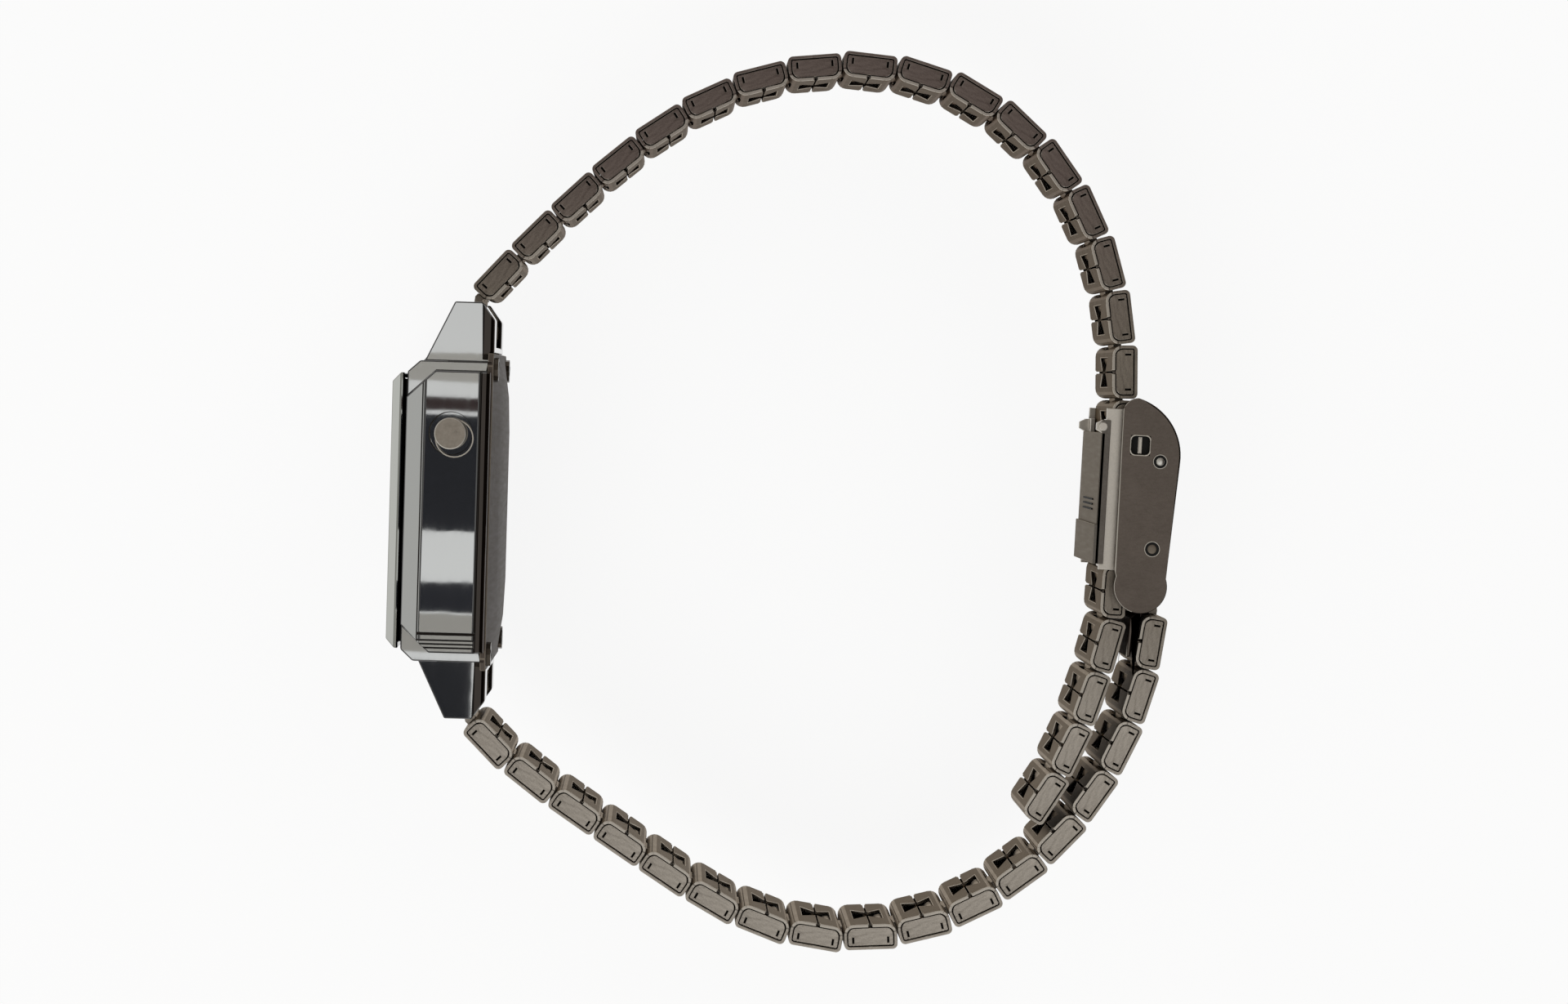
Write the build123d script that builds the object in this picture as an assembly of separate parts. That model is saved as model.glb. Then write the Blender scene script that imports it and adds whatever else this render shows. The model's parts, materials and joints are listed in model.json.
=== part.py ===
from build123d import *
from math import acos, atan2, cos, degrees, hypot, radians, sin
import os

# A digital wristwatch on a bracelet of folded steel links with a fold-over clasp, in millimetres.
# The origin is the middle of the case back's wrist face. X points from the dial to the wrist,
# Y points to the upper strap and Z along the watch's width, to the side with a single button.

# Clearances and cutting
overrun = 1.0            # a cut reaches this far past the faces that it opens
seat_gap = 0.05          # a part in its recess, all round
slide_gap = 0.1          # parts that move past each other
pin_gap = 0.04           # a pin in its bore, on the radius
round_side_count = 12    # flats round a small pin, bore, knuckle or bead
cell_side_count = 24     # flats round the battery

# Case body: a faceted block with four lugs
back_thickness = 1.0
back_step = 0.3          # how deep the case back sits in the case
case_depth = 6.6         # from the case's back plane to its front plane
case_width = 28.6
shoulder_height = 24.2   # from one shoulder above the lugs' roots to the other
shoulder_slope = 1.1     # from the front plane's edge out to the shoulder
shoulder_drop = 1.2
lug_length = 4.6         # from the shoulder to the lug's tip
lug_tip_drop = 3.4
lug_tip_depth = 2.2
lug_heel = 1.4
lug_width = 17.8
lug_gap_width = 10.0
lug_floor_gap = 1.5      # from the spring bar to the floor between the lugs
lug_facet = 0.9
side_inset = 1.0         # from the shoulder to the end of the case's side
side_corner_height = 2.1
side_corner_depth = 2.3
step_inset = 0.2
step_width = 1.7         # from the case's side in to the step beside it
side_bevel_width = 1.1
side_bevel_depth = 1.55
back_bevel = 0.8
front_wall = 0.9
end_wall = 1.8
side_wall = 2.8
cavity_corner = 2.6
groove_depth = 0.14
wide_groove = 0.18
fine_groove = 0.08
wide_groove_shares = (0.865, 1.0)          # places of half the height at which the sides end
fine_groove_shares = (0.91, 0.937, 0.964)

# Front bezel, crystal and dial
bezel_end_inset = 0.1    # from the front plane's edge in to the bezel
bezel_side_inset = 1.5
bezel_thickness = 1.0
bezel_bevel = 0.7
bezel_shadow_inset = 0.5
bezel_shadow_gap = 0.2
bezel_seat_depth = 0.1
rim_height = 2.4         # the bezel above and below the crystal
rim_width = 2.8
glass_thickness = 1.0
glass_proud = 0.1
glass_edge = 0.2
bezel_ledge = 0.5
ledge_thickness = 0.25
lip_wall = 0.65
lip_length = 0.6
dial_thickness = 0.3
mask_height = 3.7        # the dial's print above and below the window
mask_width = 2.2

# Module: display cell, housing, board, battery and its clip
cell_overlap = 2.7       # how far the cell reaches behind the print, up and down
cell_side_overlap = 1.4
cell_thickness = 1.4
cell_ledge_height = 1.6
housing_end_wall = 2.5
housing_side_wall = 0.7
housing_thickness = 2.8
housing_corner = 1.6
board_thickness = 0.6
battery_diameter = 16.0
battery_thickness = 1.6
clip_thickness = 0.2
clip_width = 5.0
clip_leg_gap = 0.3

# Case back, gasket and screws
back_end_overlap = 0.5   # how far the back reaches past the shoulder
back_side_inset = 1.6
back_flange = 0.45
back_slope = 3.5
back_corner = 1.0
raised_corner = 5.0      # leaves the screws' corners flat
gasket_width = 0.6
gasket_depth = 0.5
gasket_wall = 0.25
screw_end_inset = 1.3    # from the back's edges in to a screw
screw_side_inset = 1.9
screw_diameter = 1.2
screw_length = 3.4
screw_head_diameter = 1.9
screw_head_thickness = 0.35

# Push buttons
button_head = 2.5
button_height = 0.7      # how far a button stands out of the case
button_travel = 0.5
button_stem = 1.2
button_recess = 3.4
button_recess_depth = 0.9
button_depth = 3.0       # from the case's back plane
button_spacing = 12.4
button_reach = 0.8       # stem inside the case
button_clip_width = 2.1
button_clip_thickness = 0.3

# Spring bars
bar_diameter = 1.2
bar_tip_diameter = 0.8
bar_length = 9.9
bar_tip_length = 1.1
bar_inset = 2.05         # from a lug's tip back to the bar
bar_depth = 1.8          # from the case's back plane
squeezed_bar_length = 9.0
squeezed_tip_length = 0.4

# Folded link: x along the strap, y away from the wrist, z across
link_length = 4.2
link_width = 13.0
link_thickness = 2.05
link_wall = 0.25
link_gap = 0.25
link_wrist_bevel = 0.55
link_outer_bevel = 0.4
seam_width = 0.12
link_window_length = 2.4
link_window_width = 2.6
plate_thickness = 0.3    # closes each side of the link
bead_radius = 0.75
bead_gap = 0.05
connector_width = 3.8
neck_thickness = 0.7
root_length = 0.85
slot_below = 0.85
slot_above = 0.5
slot_run = 0.3           # how far the rear slot reaches into the rolled corner

# Strap ends: x reach and y drop from a link's end to the pin that it turns on
lug_reach = 2.37
lug_drop = 1.4
lug_knuckle_radius = 0.9
lug_connector_width = 9.6
clasp_reach = 5.4
clasp_drop = 1.42
clasp_knuckle_radius = 0.9
clasp_connector_width = 8.0
strip_rise = 0.4         # straight stretch of a strip outside its link

# Directions of the links at rest, in degrees, along the loop from the case round to the case
upper_angles = [48, 46, 44, 40.5, 34.5, 26, 16, 6, -5, -16.5, -29.5, -42, -53.5, -64, -73.5, -81.5, -88.5]
clasp_angle = -91.5
tail_angles = [-92.5, -104.5, -108, -114.5, -122]
lower_angles = [
    -98, -106.5, -115, -124, -133, -142.5, -153, -165, -176.5,
    -188.5, -200.5, -209, -212.5, -213, -213.5, -217, -225,
]
first_half_count = 9     # links in the first rigid half of the lower strap

# Clasp, in its own frame: x along the strap, y away from the wrist, from the middle held link
sleeve_wall = 0.35
sleeve_below = 1.5
sleeve_above = 1.55
sleeve_back = 5.9
sleeve_front = 7.15
sleeve_top_wall = 0.35
sleeve_top_back = 5.0
sleeve_top_front = 6.9
sleeve_corner = 0.8
lip_width = 1.4
lip_thickness = 0.4
arm_pin_x = 6.34
arm_pin_y = 1.08
arm_pin_radius = 0.4
flap_pin_x = -4.4
flap_pin_y = -1.75
flap_pin_radius = 0.35
flap_ear_radius = 0.55
nib_x = -3.05
nib_y = 1.26
nib_length = 1.3
nib_height = 0.3
cover_window = 1.6

flap_thickness = 0.3
flap_drop = 0.95         # from the flap's pin to its outer face
flap_plate_back = -3.9
flap_front = 6.7
flap_side_top = -1.15
flap_side_back = 0.54    # beyond the flap's pin
tooth_length = 0.5
tooth_width = 2.6
tooth_inner = 2.4
tooth_tip = -0.8
ridge_pitch = 0.6
ridge_length = 0.25
ridge_height = 0.15
ridge_count = 3

arm_length = 8.36
arm_angle = 167.4
arm_width = 1.4
arm_corner = 0.4
arm_thickness = 0.35
arm_web_start = 3.2
arm_web_thickness = 0.35
arm_web_rise = 0.1
cover_pin_radius = 0.5

cover_wall = 0.4
cover_gap = 0.1
cover_heel = (7.0, -0.28)
cover_toe = (-5.85, -0.28)
cover_nose = (-6.5, 0.1)
cover_nose_top = (-6.85, 0.9)
cover_brow = (-5.0, 3.65)
cover_back_start = (-1.8, 4.56)
cover_back_end = (7.6, 3.94)
cover_tail = (10.49, 2.05)
cover_tail_foot = (7.6, -0.1)
strap_pin_x = 5.26
strap_pin_y = 2.68
strap_pin_radius = 0.55
cover_top_start = 1.6
cover_top_front = 7.2
pin_dome = 0.1
guard_thickness = 0.4
guard_width = 11.0
guard_root = (9.2, 2.35)
guard_root_length = 1.0
guard_bend = (10.7, 2.3)
guard_knee = (11.2, 1.65)
guard_tip = (14.2, 1.5)

# Sizes and places that follow from the sizes above
face_height = shoulder_height - 2 * shoulder_slope
side_height = shoulder_height - 2 * side_inset
lug_span = shoulder_height + 2 * lug_length
bar_height = lug_span / 2 - bar_inset
lug_gap_start = bar_height - lug_floor_gap
cavity_height = shoulder_height - 2 * end_wall
cavity_width = case_width - 2 * side_wall
bezel_height = face_height - 2 * bezel_end_inset
bezel_width = case_width - 2 * bezel_side_inset
bezel_shadow_height = bezel_height - 2 * bezel_shadow_inset
bezel_shadow_width = bezel_width - 2 * bezel_shadow_inset
glass_height = bezel_height - 2 * rim_height
glass_width = bezel_width - 2 * rim_width
window_height = glass_height - 2 * mask_height
window_width = glass_width - 2 * mask_width
cell_height = window_height + 2 * cell_overlap
cell_width = window_width + 2 * cell_side_overlap
housing_height = cell_height + 2 * housing_end_wall
housing_width = cell_width + 2 * housing_side_wall
back_height = shoulder_height + 2 * back_end_overlap
back_width = case_width - 2 * back_side_inset
screw_height = back_height / 2 - screw_end_inset
screw_width = back_width / 2 - screw_side_inset

seat_x = -back_thickness
case_back_x = seat_x + back_step
case_front_x = case_back_x - case_depth
bar_x = case_back_x - bar_depth
button_x = case_back_x - button_depth
button_y = button_spacing / 2
front_inner_x = case_front_x + front_wall
bezel_back_x = case_front_x - bezel_shadow_gap
bezel_front_x = bezel_back_x - bezel_thickness
glass_back_x = bezel_front_x - glass_proud + glass_thickness
dial_back_x = glass_back_x + ledge_thickness + dial_thickness
housing_front_x = front_inner_x + slide_gap
housing_back_x = housing_front_x + housing_thickness
board_back_x = housing_back_x + board_thickness
battery_back_x = board_back_x + battery_thickness
clip_back_x = battery_back_x + clip_thickness
side_z = case_width / 2

half_link = link_length / 2
half_thickness = link_thickness / 2
bead_back = link_wall + bead_gap + bead_radius
lead = half_link + link_gap + bead_back
lag = half_link - bead_back
pitch = link_length + link_gap
link_side = link_width / 2

sleeve_inner_z = link_side + slide_gap
sleeve_outer_z = sleeve_inner_z + sleeve_wall
arm_inner_z = sleeve_outer_z + slide_gap
arm_outer_z = arm_inner_z + arm_thickness
cover_inner_z = arm_outer_z + cover_gap
cover_outer_z = cover_inner_z + cover_wall
flap_inner_z = sleeve_outer_z + seat_gap
flap_outer_z = flap_inner_z + flap_thickness
flap_face_y = flap_pin_y - flap_drop
cover_pin_x = arm_pin_x + arm_length * cos(radians(arm_angle))
cover_pin_y = arm_pin_y + arm_length * sin(radians(arm_angle))


def block(x_range, y_range, z_range):
    """A box from its lowest to its highest X, Y and Z."""
    middle = [(low + high) / 2 for low, high in (x_range, y_range, z_range)]
    size = [high - low for low, high in (x_range, y_range, z_range)]
    return Pos(*middle) * Box(*size)


def outline(points):
    """A face in the plane of x and y, inside the closed line through the points."""
    return make_face(Polyline(*points, close=True))


def across(face, low, high):
    """A face drawn in x and y, made a solid from low to high along Z."""
    return extrude(Pos(0, 0, low) * face, amount=high - low, dir=(0, 0, 1))


def deep(face, low, high):
    """A face drawn in y and z, made a solid from low to high along X."""
    return extrude(Plane.YZ.offset(low) * face, amount=high - low, dir=(1, 0, 0))


def few_sided(radius):
    """A small round face, with its corners on the radius."""
    return RegularPolygon(radius, round_side_count)


def pin(radius, place, low, high):
    """A pin along Z at a place in x and y."""
    return across(Pos(*place) * few_sided(radius), low, high)


def peg(radius, place, low, high):
    """A pin along X at a place in y and z."""
    return deep(Pos(*place) * few_sided(radius), low, high)


def turning_bore(radius):
    """The face of a bore in which a pin turns: its flats, not its corners, clear the radius."""
    return RegularPolygon(radius + pin_gap, round_side_count, major_radius=False)


def disc(radius, place, low, high):
    """A true cylinder along Z at a place in x and y."""
    return Pos(place[0], place[1], (low + high) / 2) * Cylinder(radius, high - low)


def both_sides(low, high):
    """The ranges from low to high on either side of zero."""
    return [(-high, -low), (low, high)]


def on_side(side, low, high):
    """The range from low to high on the side of zero that 1 or -1 names."""
    return (low, high) if side > 0 else (-high, -low)


def cut_corner_panel(height, width, corner):
    """A rectangle in y and z with its four corners cut off."""
    panel = Rectangle(height, width)
    return chamfer(panel.vertices(), corner)


def ahead(place, angle, forward, outward=0):
    """The place that lies forward along a direction and outward to its left."""
    turn = radians(angle)
    return (
        place[0] + forward * cos(turn) - outward * sin(turn),
        place[1] + forward * sin(turn) + outward * cos(turn),
    )


def facing(place, angle):
    """The location of something drawn along x that lies at a place and faces a direction."""
    return Location((place[0], place[1], 0), (0, 0, angle))


# Case


def long_edge(corner, toward_front, toward_middle, y_range):
    """The wedge that bevels an edge along Y whose corner is at a place in x and z."""
    x, z = corner
    edge = Polyline((x, z), (x + toward_front, z), (x, z + toward_middle), close=True)
    wedge = extrude(make_face(Plane.XZ * edge), amount=y_range[1] - y_range[0], dir=(0, 1, 0))
    return Pos(0, y_range[0], 0) * wedge


def case_block():
    """The case and its lugs as one faceted block."""
    profile = [(case_front_x, face_height / 2)]
    profile.append((case_front_x + shoulder_drop, shoulder_height / 2))
    profile.append((case_front_x + lug_tip_drop, lug_span / 2))
    profile.append((case_front_x + lug_tip_drop + lug_tip_depth, lug_span / 2))
    profile.append((case_back_x, lug_span / 2 - lug_heel))
    mirrored = [(x, -y) for x, y in reversed(profile)]
    side_view = across(outline(profile + mirrored), -side_z, side_z)
    step_z = side_z - step_width
    step_height = shoulder_height - 2 * step_inset
    front_view = Rectangle(step_height, 2 * step_z) + Rectangle(lug_span, lug_width)
    body = side_view & deep(front_view, case_front_x, case_back_x)
    side_half = side_height / 2
    corner_cut = [(case_front_x, side_half - side_corner_height), (case_front_x + side_corner_depth, side_half)]
    side_points = [*corner_cut, (case_back_x, side_half)]
    side_points += [(x, -y) for x, y in reversed(side_points)]
    body += across(outline(side_points), -side_z, side_z)
    for side in (-1, 1):
        whole = (-lug_span / 2, lug_span / 2)
        front_corner = (case_front_x, side * side_z)
        body -= long_edge(front_corner, side_bevel_depth, -side * side_bevel_width, whole)
        body -= long_edge((case_back_x, side * side_z), -back_bevel, -side * back_bevel, whole)
        lug_gap = on_side(side, lug_gap_start, lug_span / 2 + overrun)
        open_x = (case_front_x - overrun, case_back_x + overrun)
        body -= block(open_x, lug_gap, (-lug_gap_width / 2, lug_gap_width / 2))
        lug_range = on_side(side, shoulder_height / 2, lug_span / 2)
        for hand in (-1, 1):
            lug_corner = (case_back_x, hand * lug_width / 2)
            body -= long_edge(lug_corner, -lug_facet, -hand * lug_facet, lug_range)
    return body


def side_grooves():
    """Fine grooves across the case's sides, at their lower end."""
    cuts = []
    grooves = [(share, wide_groove) for share in wide_groove_shares]
    grooves += [(share, fine_groove) for share in fine_groove_shares]
    for share, width in grooves:
        middle = -share * side_height / 2
        y_range = (middle - width / 2, middle + width / 2)
        for z_range in both_sides(side_z - groove_depth, side_z + overrun):
            cuts.append(block((case_front_x - overrun, case_back_x + overrun), y_range, z_range))
    return cuts


def gasket_ring(height_gap):
    """The gasket's outline in y and z, wider on both edges by the gap given."""
    inner_height = cavity_height + 2 * (gasket_wall - height_gap)
    inner_width = cavity_width + 2 * (gasket_wall - height_gap)
    grow = 2 * (gasket_width + 2 * height_gap)
    outer = cut_corner_panel(inner_height + grow, inner_width + grow, cavity_corner)
    return outer - cut_corner_panel(inner_height, inner_width, cavity_corner)


def button_places():
    """Each button's node, its place along Y and the side of the case that it is on."""
    return [("button_light", button_y, 1), ("button_mode", button_y, -1), ("button_alarm", -button_y, -1)]


def screw_places():
    return [(y, z) for y in (-screw_height, screw_height) for z in (-screw_width, screw_width)]


def make_case_body():
    body = case_block()
    body -= deep(cut_corner_panel(cavity_height, cavity_width, cavity_corner), front_inner_x, seat_x)
    opening = Rectangle(glass_height + 2 * (lip_wall + seat_gap), glass_width + 2 * (lip_wall + seat_gap))
    body -= deep(opening, case_front_x - overrun, front_inner_x)
    seat = Rectangle(bezel_shadow_height + 2 * seat_gap, bezel_shadow_width + 2 * seat_gap)
    body -= deep(seat, case_front_x - overrun, case_front_x + bezel_seat_depth)
    recess = cut_corner_panel(back_height + 2 * seat_gap, back_width + 2 * seat_gap, back_corner)
    body -= deep(recess, seat_x, case_back_x + overrun)
    body -= deep(gasket_ring(seat_gap), seat_x - gasket_depth, seat_x)
    for place in screw_places():
        body -= peg(screw_diameter / 2 + seat_gap, place, seat_x - screw_length, seat_x)
    for node, y, side in button_places():
        place = (button_x, y)
        recess_floor = side_z - button_recess_depth
        body -= pin(button_stem / 2 + seat_gap, place, *on_side(side, 0, side_z))
        body -= disc(button_recess / 2, place, *on_side(side, recess_floor, side_z + overrun))
    tip_end = bar_length / 2 + bar_tip_length + slide_gap
    for y in (-bar_height, bar_height):
        body -= pin(bar_tip_diameter / 2 + seat_gap, (bar_x, y), -tip_end, tip_end)
    for cut in side_grooves():
        body -= cut
    return [body]


def make_front_bezel():
    """The plate round the crystal, with a bevelled edge, a shadow gap and a lip in the case."""
    plate = deep(Rectangle(bezel_height, bezel_width), bezel_front_x, bezel_back_x)
    plate = chamfer(plate.faces().sort_by(Axis.X)[0].edges(), bezel_bevel)
    shadow = Rectangle(bezel_shadow_height, bezel_shadow_width)
    seat = case_front_x + bezel_seat_depth
    plate += deep(shadow, bezel_back_x, seat)
    lip = Rectangle(glass_height + 2 * lip_wall, glass_width + 2 * lip_wall)
    plate += deep(lip, bezel_back_x, seat + lip_length)
    plate -= deep(Rectangle(glass_height, glass_width), bezel_front_x - overrun, glass_back_x)
    through = Rectangle(glass_height - 2 * bezel_ledge, glass_width - 2 * bezel_ledge)
    plate -= deep(through, bezel_front_x, seat + lip_length)
    plate -= deep(Rectangle(glass_height, glass_width), glass_back_x + ledge_thickness, seat + lip_length)
    return [plate]


def make_crystal():
    face = Rectangle(glass_height - 2 * seat_gap, glass_width - 2 * seat_gap)
    glass = deep(face, glass_back_x - glass_thickness, glass_back_x)
    return [chamfer(glass.faces().sort_by(Axis.X)[0].edges(), glass_edge)]


def make_dial_mask():
    face = Rectangle(glass_height - 2 * seat_gap, glass_width - 2 * seat_gap)
    face -= Rectangle(window_height, window_width)
    return [deep(face, dial_back_x - dial_thickness, dial_back_x)]


def make_lcd_glass():
    """Two glass plates, the rear one taller, as the ledge for the contact strip."""
    front = Rectangle(cell_height, cell_width)
    rear = Rectangle(cell_height + cell_ledge_height / 2, cell_width)
    middle_x = dial_back_x + seat_gap + cell_thickness / 2
    cell = deep(front, dial_back_x + seat_gap, middle_x)
    cell += deep(rear, middle_x, middle_x + cell_thickness / 2)
    return [cell]


def make_module_housing():
    face = cut_corner_panel(housing_height, housing_width, housing_corner)
    housing = deep(face, housing_front_x, housing_back_x)
    pocket_height = cell_height + cell_ledge_height / 2 + 2 * seat_gap
    pocket = Rectangle(pocket_height, cell_width + 2 * seat_gap)
    cell_back_x = dial_back_x + seat_gap + cell_thickness
    housing -= deep(pocket, housing_front_x - overrun, cell_back_x)
    return [housing]


def make_circuit_board():
    face = cut_corner_panel(housing_height, housing_width, housing_corner)
    return [deep(face, housing_back_x, board_back_x)]


def make_battery():
    face = RegularPolygon(battery_diameter / 2, cell_side_count)
    return [deep(face, board_back_x, battery_back_x)]


def make_battery_clip():
    """A flat spring over the battery whose two legs stand on the board."""
    leg = battery_diameter / 2 + clip_leg_gap
    half_width = clip_width / 2
    clip = block((battery_back_x, clip_back_x), (-leg, leg), (-half_width, half_width))
    for y_range in both_sides(leg, leg + clip_thickness):
        clip += block((board_back_x, clip_back_x), y_range, (-half_width, half_width))
    return [clip]


def make_case_gasket():
    return [deep(gasket_ring(0), seat_x - gasket_depth, seat_x)]


def make_case_back():
    """The back plate: a flange in the case and wide slopes up to the flat that meets the wrist."""
    flange_x = seat_x + back_flange
    flange = deep(cut_corner_panel(back_height, back_width, back_corner), seat_x, flange_x)
    raised = deep(cut_corner_panel(back_height, back_width, raised_corner), seat_x, 0)
    top = raised.faces().sort_by(Axis.X)[-1]
    back = flange + chamfer(top.edges(), back_slope, back_thickness - back_flange, reference=top)
    for place in screw_places():
        back -= peg(screw_diameter / 2 + seat_gap, place, seat_x, flange_x)
    return [back]


def make_case_back_screws():
    screws = []
    head_x = seat_x + back_flange
    for place in screw_places():
        screw = peg(screw_head_diameter / 2, place, head_x, head_x + screw_head_thickness)
        screw += peg(screw_diameter / 2, place, seat_x - screw_length + slide_gap, head_x)
        screws.append(screw)
    return screws


def make_spring_bar(y, tube_length, tip_length):
    """A spring bar across the lugs: a tube with a thin sprung tip at each end."""
    bar = pin(bar_diameter / 2, (bar_x, y), -tube_length / 2, tube_length / 2)
    tip_end = tube_length / 2 + tip_length
    return bar + pin(bar_tip_diameter / 2, (bar_x, y), -tip_end, tip_end)


def make_button(y, side):
    """A button with its stem, and the clip that keeps it in the case."""
    head_top = side_z + button_height
    head_bottom = side_z - button_recess_depth + button_travel + seat_gap
    cavity_side = cavity_width / 2
    place = (button_x, y)
    head = disc(button_head / 2, place, head_bottom, head_top)
    button = head + pin(button_stem / 2, place, cavity_side - button_reach, head_bottom)
    clip_half = button_clip_width / 2
    stem_half = button_stem / 2
    fork = Rectangle(button_clip_width, button_clip_width)
    fork -= Pos(0, clip_half / 2) * Rectangle(2 * stem_half, clip_half + button_stem)
    clip_back = cavity_side - slide_gap
    solids = [button, across(Pos(*place) * fork, clip_back - button_clip_thickness, clip_back)]
    if side < 0:
        solids = [solid.mirror(Plane.XY) for solid in solids]
    return solids


# Bracelet links, drawn with the link's middle at the origin


def link_outside():
    """A link's section: wide bevels on the wrist side, smaller ones outside."""
    section = Rectangle(link_length, link_thickness)
    section = chamfer(section.vertices().group_by(Axis.Y)[0], link_wrist_bevel)
    return chamfer(section.vertices().group_by(Axis.Y)[-1], link_outer_bevel)


def link_inside():
    return offset(link_outside(), amount=-link_wall, kind=Kind.INTERSECTION)


def link_shell(front_is_open=True):
    """The folded shell, closed at its sides, with its seam, window and the openings for connectors."""
    inner_side = link_side - plate_thickness
    shell = across(link_outside(), -link_side, link_side) - across(link_inside(), -inner_side, inner_side)
    wrist_wall = (-half_thickness - overrun, -half_thickness + link_wall)
    seam = (-seam_width / 2, seam_width / 2)
    shell -= block(seam, wrist_wall, (-inner_side, inner_side))
    window = (-link_window_length / 2, link_window_length / 2)
    shell -= block(window, wrist_wall, (-link_window_width / 2, link_window_width / 2))
    slot_z = connector_width / 2 + slide_gap
    slot_x = (-half_link - overrun, -half_link + link_wall + slot_run)
    shell -= block(slot_x, (-slot_below, slot_above), (-slot_z, slot_z))
    if front_is_open:
        neck_y = neck_thickness / 2 + seat_gap
        neck_z = connector_width / 2 + seat_gap
        shell -= block((half_link - link_wall, half_link + overrun), (-neck_y, neck_y), (-neck_z, neck_z))
    return shell


def connector_root():
    """The foot of a connector, folded up against the inside of a link's front end."""
    inner = half_link - link_wall
    room = Pos(inner - root_length / 2, 0) * Rectangle(root_length, link_thickness)
    return link_inside() & room


def link_connector():
    """The strip that runs into the next link and ends in the rolled bead of the hinge."""
    start = half_link - link_wall - root_length / 2
    neck = Pos((start + lead) / 2, 0) * Rectangle(lead - start, neck_thickness)
    profile = connector_root() + neck + Pos(lead, 0) * few_sided(bead_radius)
    return across(profile, -connector_width / 2, connector_width / 2)


def end_connector(reach, drop, knuckle_radius, pin_radius, width):
    """The strip from a link's front end down to a knuckle on the pin that the strap turns on."""
    start = half_link - link_wall - root_length / 2
    bend = half_link + strip_rise
    knuckle = (half_link + reach, -drop)
    slope = degrees(atan2(-drop, knuckle[0] - bend))
    side = neck_thickness / 2
    strip = outline([
        (half_link + seat_gap, side),
        (bend, side),
        ahead(knuckle, slope, 0, side),
        ahead(knuckle, slope, 0, -side),
        ahead((bend, 0), slope, 0, -side),
        (half_link + seat_gap, -side),
    ])
    profile = strip + Pos(*knuckle) * few_sided(knuckle_radius) - Pos(*knuckle) * turning_bore(pin_radius)
    wide = across(profile, -width / 2, width / 2)
    neck = Pos((start + bend) / 2, 0) * Rectangle(bend - start, neck_thickness)
    narrow = across(connector_root() + neck, -connector_width / 2, connector_width / 2)
    return wide + narrow


def plain_link():
    return [link_shell(), link_connector()]


def lug_connector():
    return end_connector(lug_reach, lug_drop, lug_knuckle_radius, bar_diameter / 2, lug_connector_width)


def clasp_connector():
    width = clasp_connector_width
    return end_connector(clasp_reach, clasp_drop, clasp_knuckle_radius, strap_pin_radius, width)


def placed(solids, place, angle):
    location = facing(place, angle)
    return [location * solid for solid in solids]


# Where the links lie


def follow(first, angles):
    """The middles of the links that hinge on each other from a first one, facing the angles."""
    places = [first]
    for angle, next_angle in zip(angles, angles[1:]):
        hinge = ahead(places[-1], angle, lead)
        places.append(ahead(hinge, next_angle, lag))
    return places


def turned(angles, turn):
    return [angle + turn for angle in angles]


def close_loop(start, end):
    """Turn the two halves of the lower strap so that it runs from the clasp's pin to the lug's."""
    first_angles = lower_angles[:first_half_count]
    second_angles = lower_angles[first_half_count:]
    first = ahead((0, 0), first_angles[0], half_link + clasp_reach, clasp_drop)
    middle = ahead(follow(first, first_angles)[-1], first_angles[-1], lead)
    last = follow(ahead((0, 0), second_angles[0], lag), second_angles)[-1]
    far = ahead(last, second_angles[-1], half_link + lug_reach, -lug_drop)
    span = (end[0] - start[0], end[1] - start[1])
    a, b, c = hypot(*middle), hypot(*far), hypot(*span)
    lift = degrees(acos((a * a + c * c - b * b) / (2 * a * c)))
    fall = degrees(acos((b * b + c * c - a * a) / (2 * b * c)))
    line = degrees(atan2(span[1], span[0]))
    first_turn = line + lift - degrees(atan2(middle[1], middle[0]))
    second_turn = line - fall - degrees(atan2(far[1], far[0]))
    first_turn = (first_turn + 180) % 360 - 180
    second_turn = (second_turn + 180) % 360 - 180
    return turned(first_angles, first_turn) + turned(second_angles, second_turn)


upper_bar = (bar_x, bar_height)
lower_bar = (bar_x, -bar_height)
upper_start = ahead(upper_bar, upper_angles[0], half_link + lug_reach, lug_drop)
upper_places = follow(upper_start, upper_angles)
clasp_hinge = ahead(upper_places[-1], upper_angles[-1], lead)
clasp_middle = ahead(clasp_hinge, clasp_angle, lag + pitch)
tail_hinge = ahead(clasp_middle, clasp_angle, pitch + lead)
tail_places = follow(ahead(tail_hinge, tail_angles[0], lag), tail_angles)
strap_pin_place = ahead(clasp_middle, clasp_angle, strap_pin_x, strap_pin_y)
closed_angles = close_loop(strap_pin_place, lower_bar)
lower_start = ahead(strap_pin_place, closed_angles[0], half_link + clasp_reach, clasp_drop)
lower_places = follow(lower_start, closed_angles)


# Clasp, drawn in its own frame


def in_clasp(solids):
    return placed(solids, clasp_middle, clasp_angle)


def make_held_links():
    links = []
    for step in (-1, 0, 1):
        links += placed(link_solids, (step * pitch, 0), 0)
    return in_clasp(links)


def sleeve_side():
    """The outline of the sleeve's side walls, with the ears of the flap's pin."""
    wall = outline([
        (-sleeve_back, -sleeve_below),
        (sleeve_front, -sleeve_below),
        (sleeve_front, sleeve_above),
        (-sleeve_back, sleeve_above),
    ])
    wall = chamfer(wall.vertices().group_by(Axis.Y)[-1], sleeve_corner)
    ear = outline([
        (flap_pin_x - flap_ear_radius, -sleeve_below),
        (flap_pin_x - flap_ear_radius, flap_pin_y),
        (flap_pin_x - flap_ear_radius / 2, flap_pin_y - flap_ear_radius),
        (flap_pin_x + flap_ear_radius / 2, flap_pin_y - flap_ear_radius),
        (flap_pin_x + flap_ear_radius, flap_pin_y),
        (flap_pin_x + 2 * flap_ear_radius, -sleeve_below),
    ])
    return wall + ear


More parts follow.
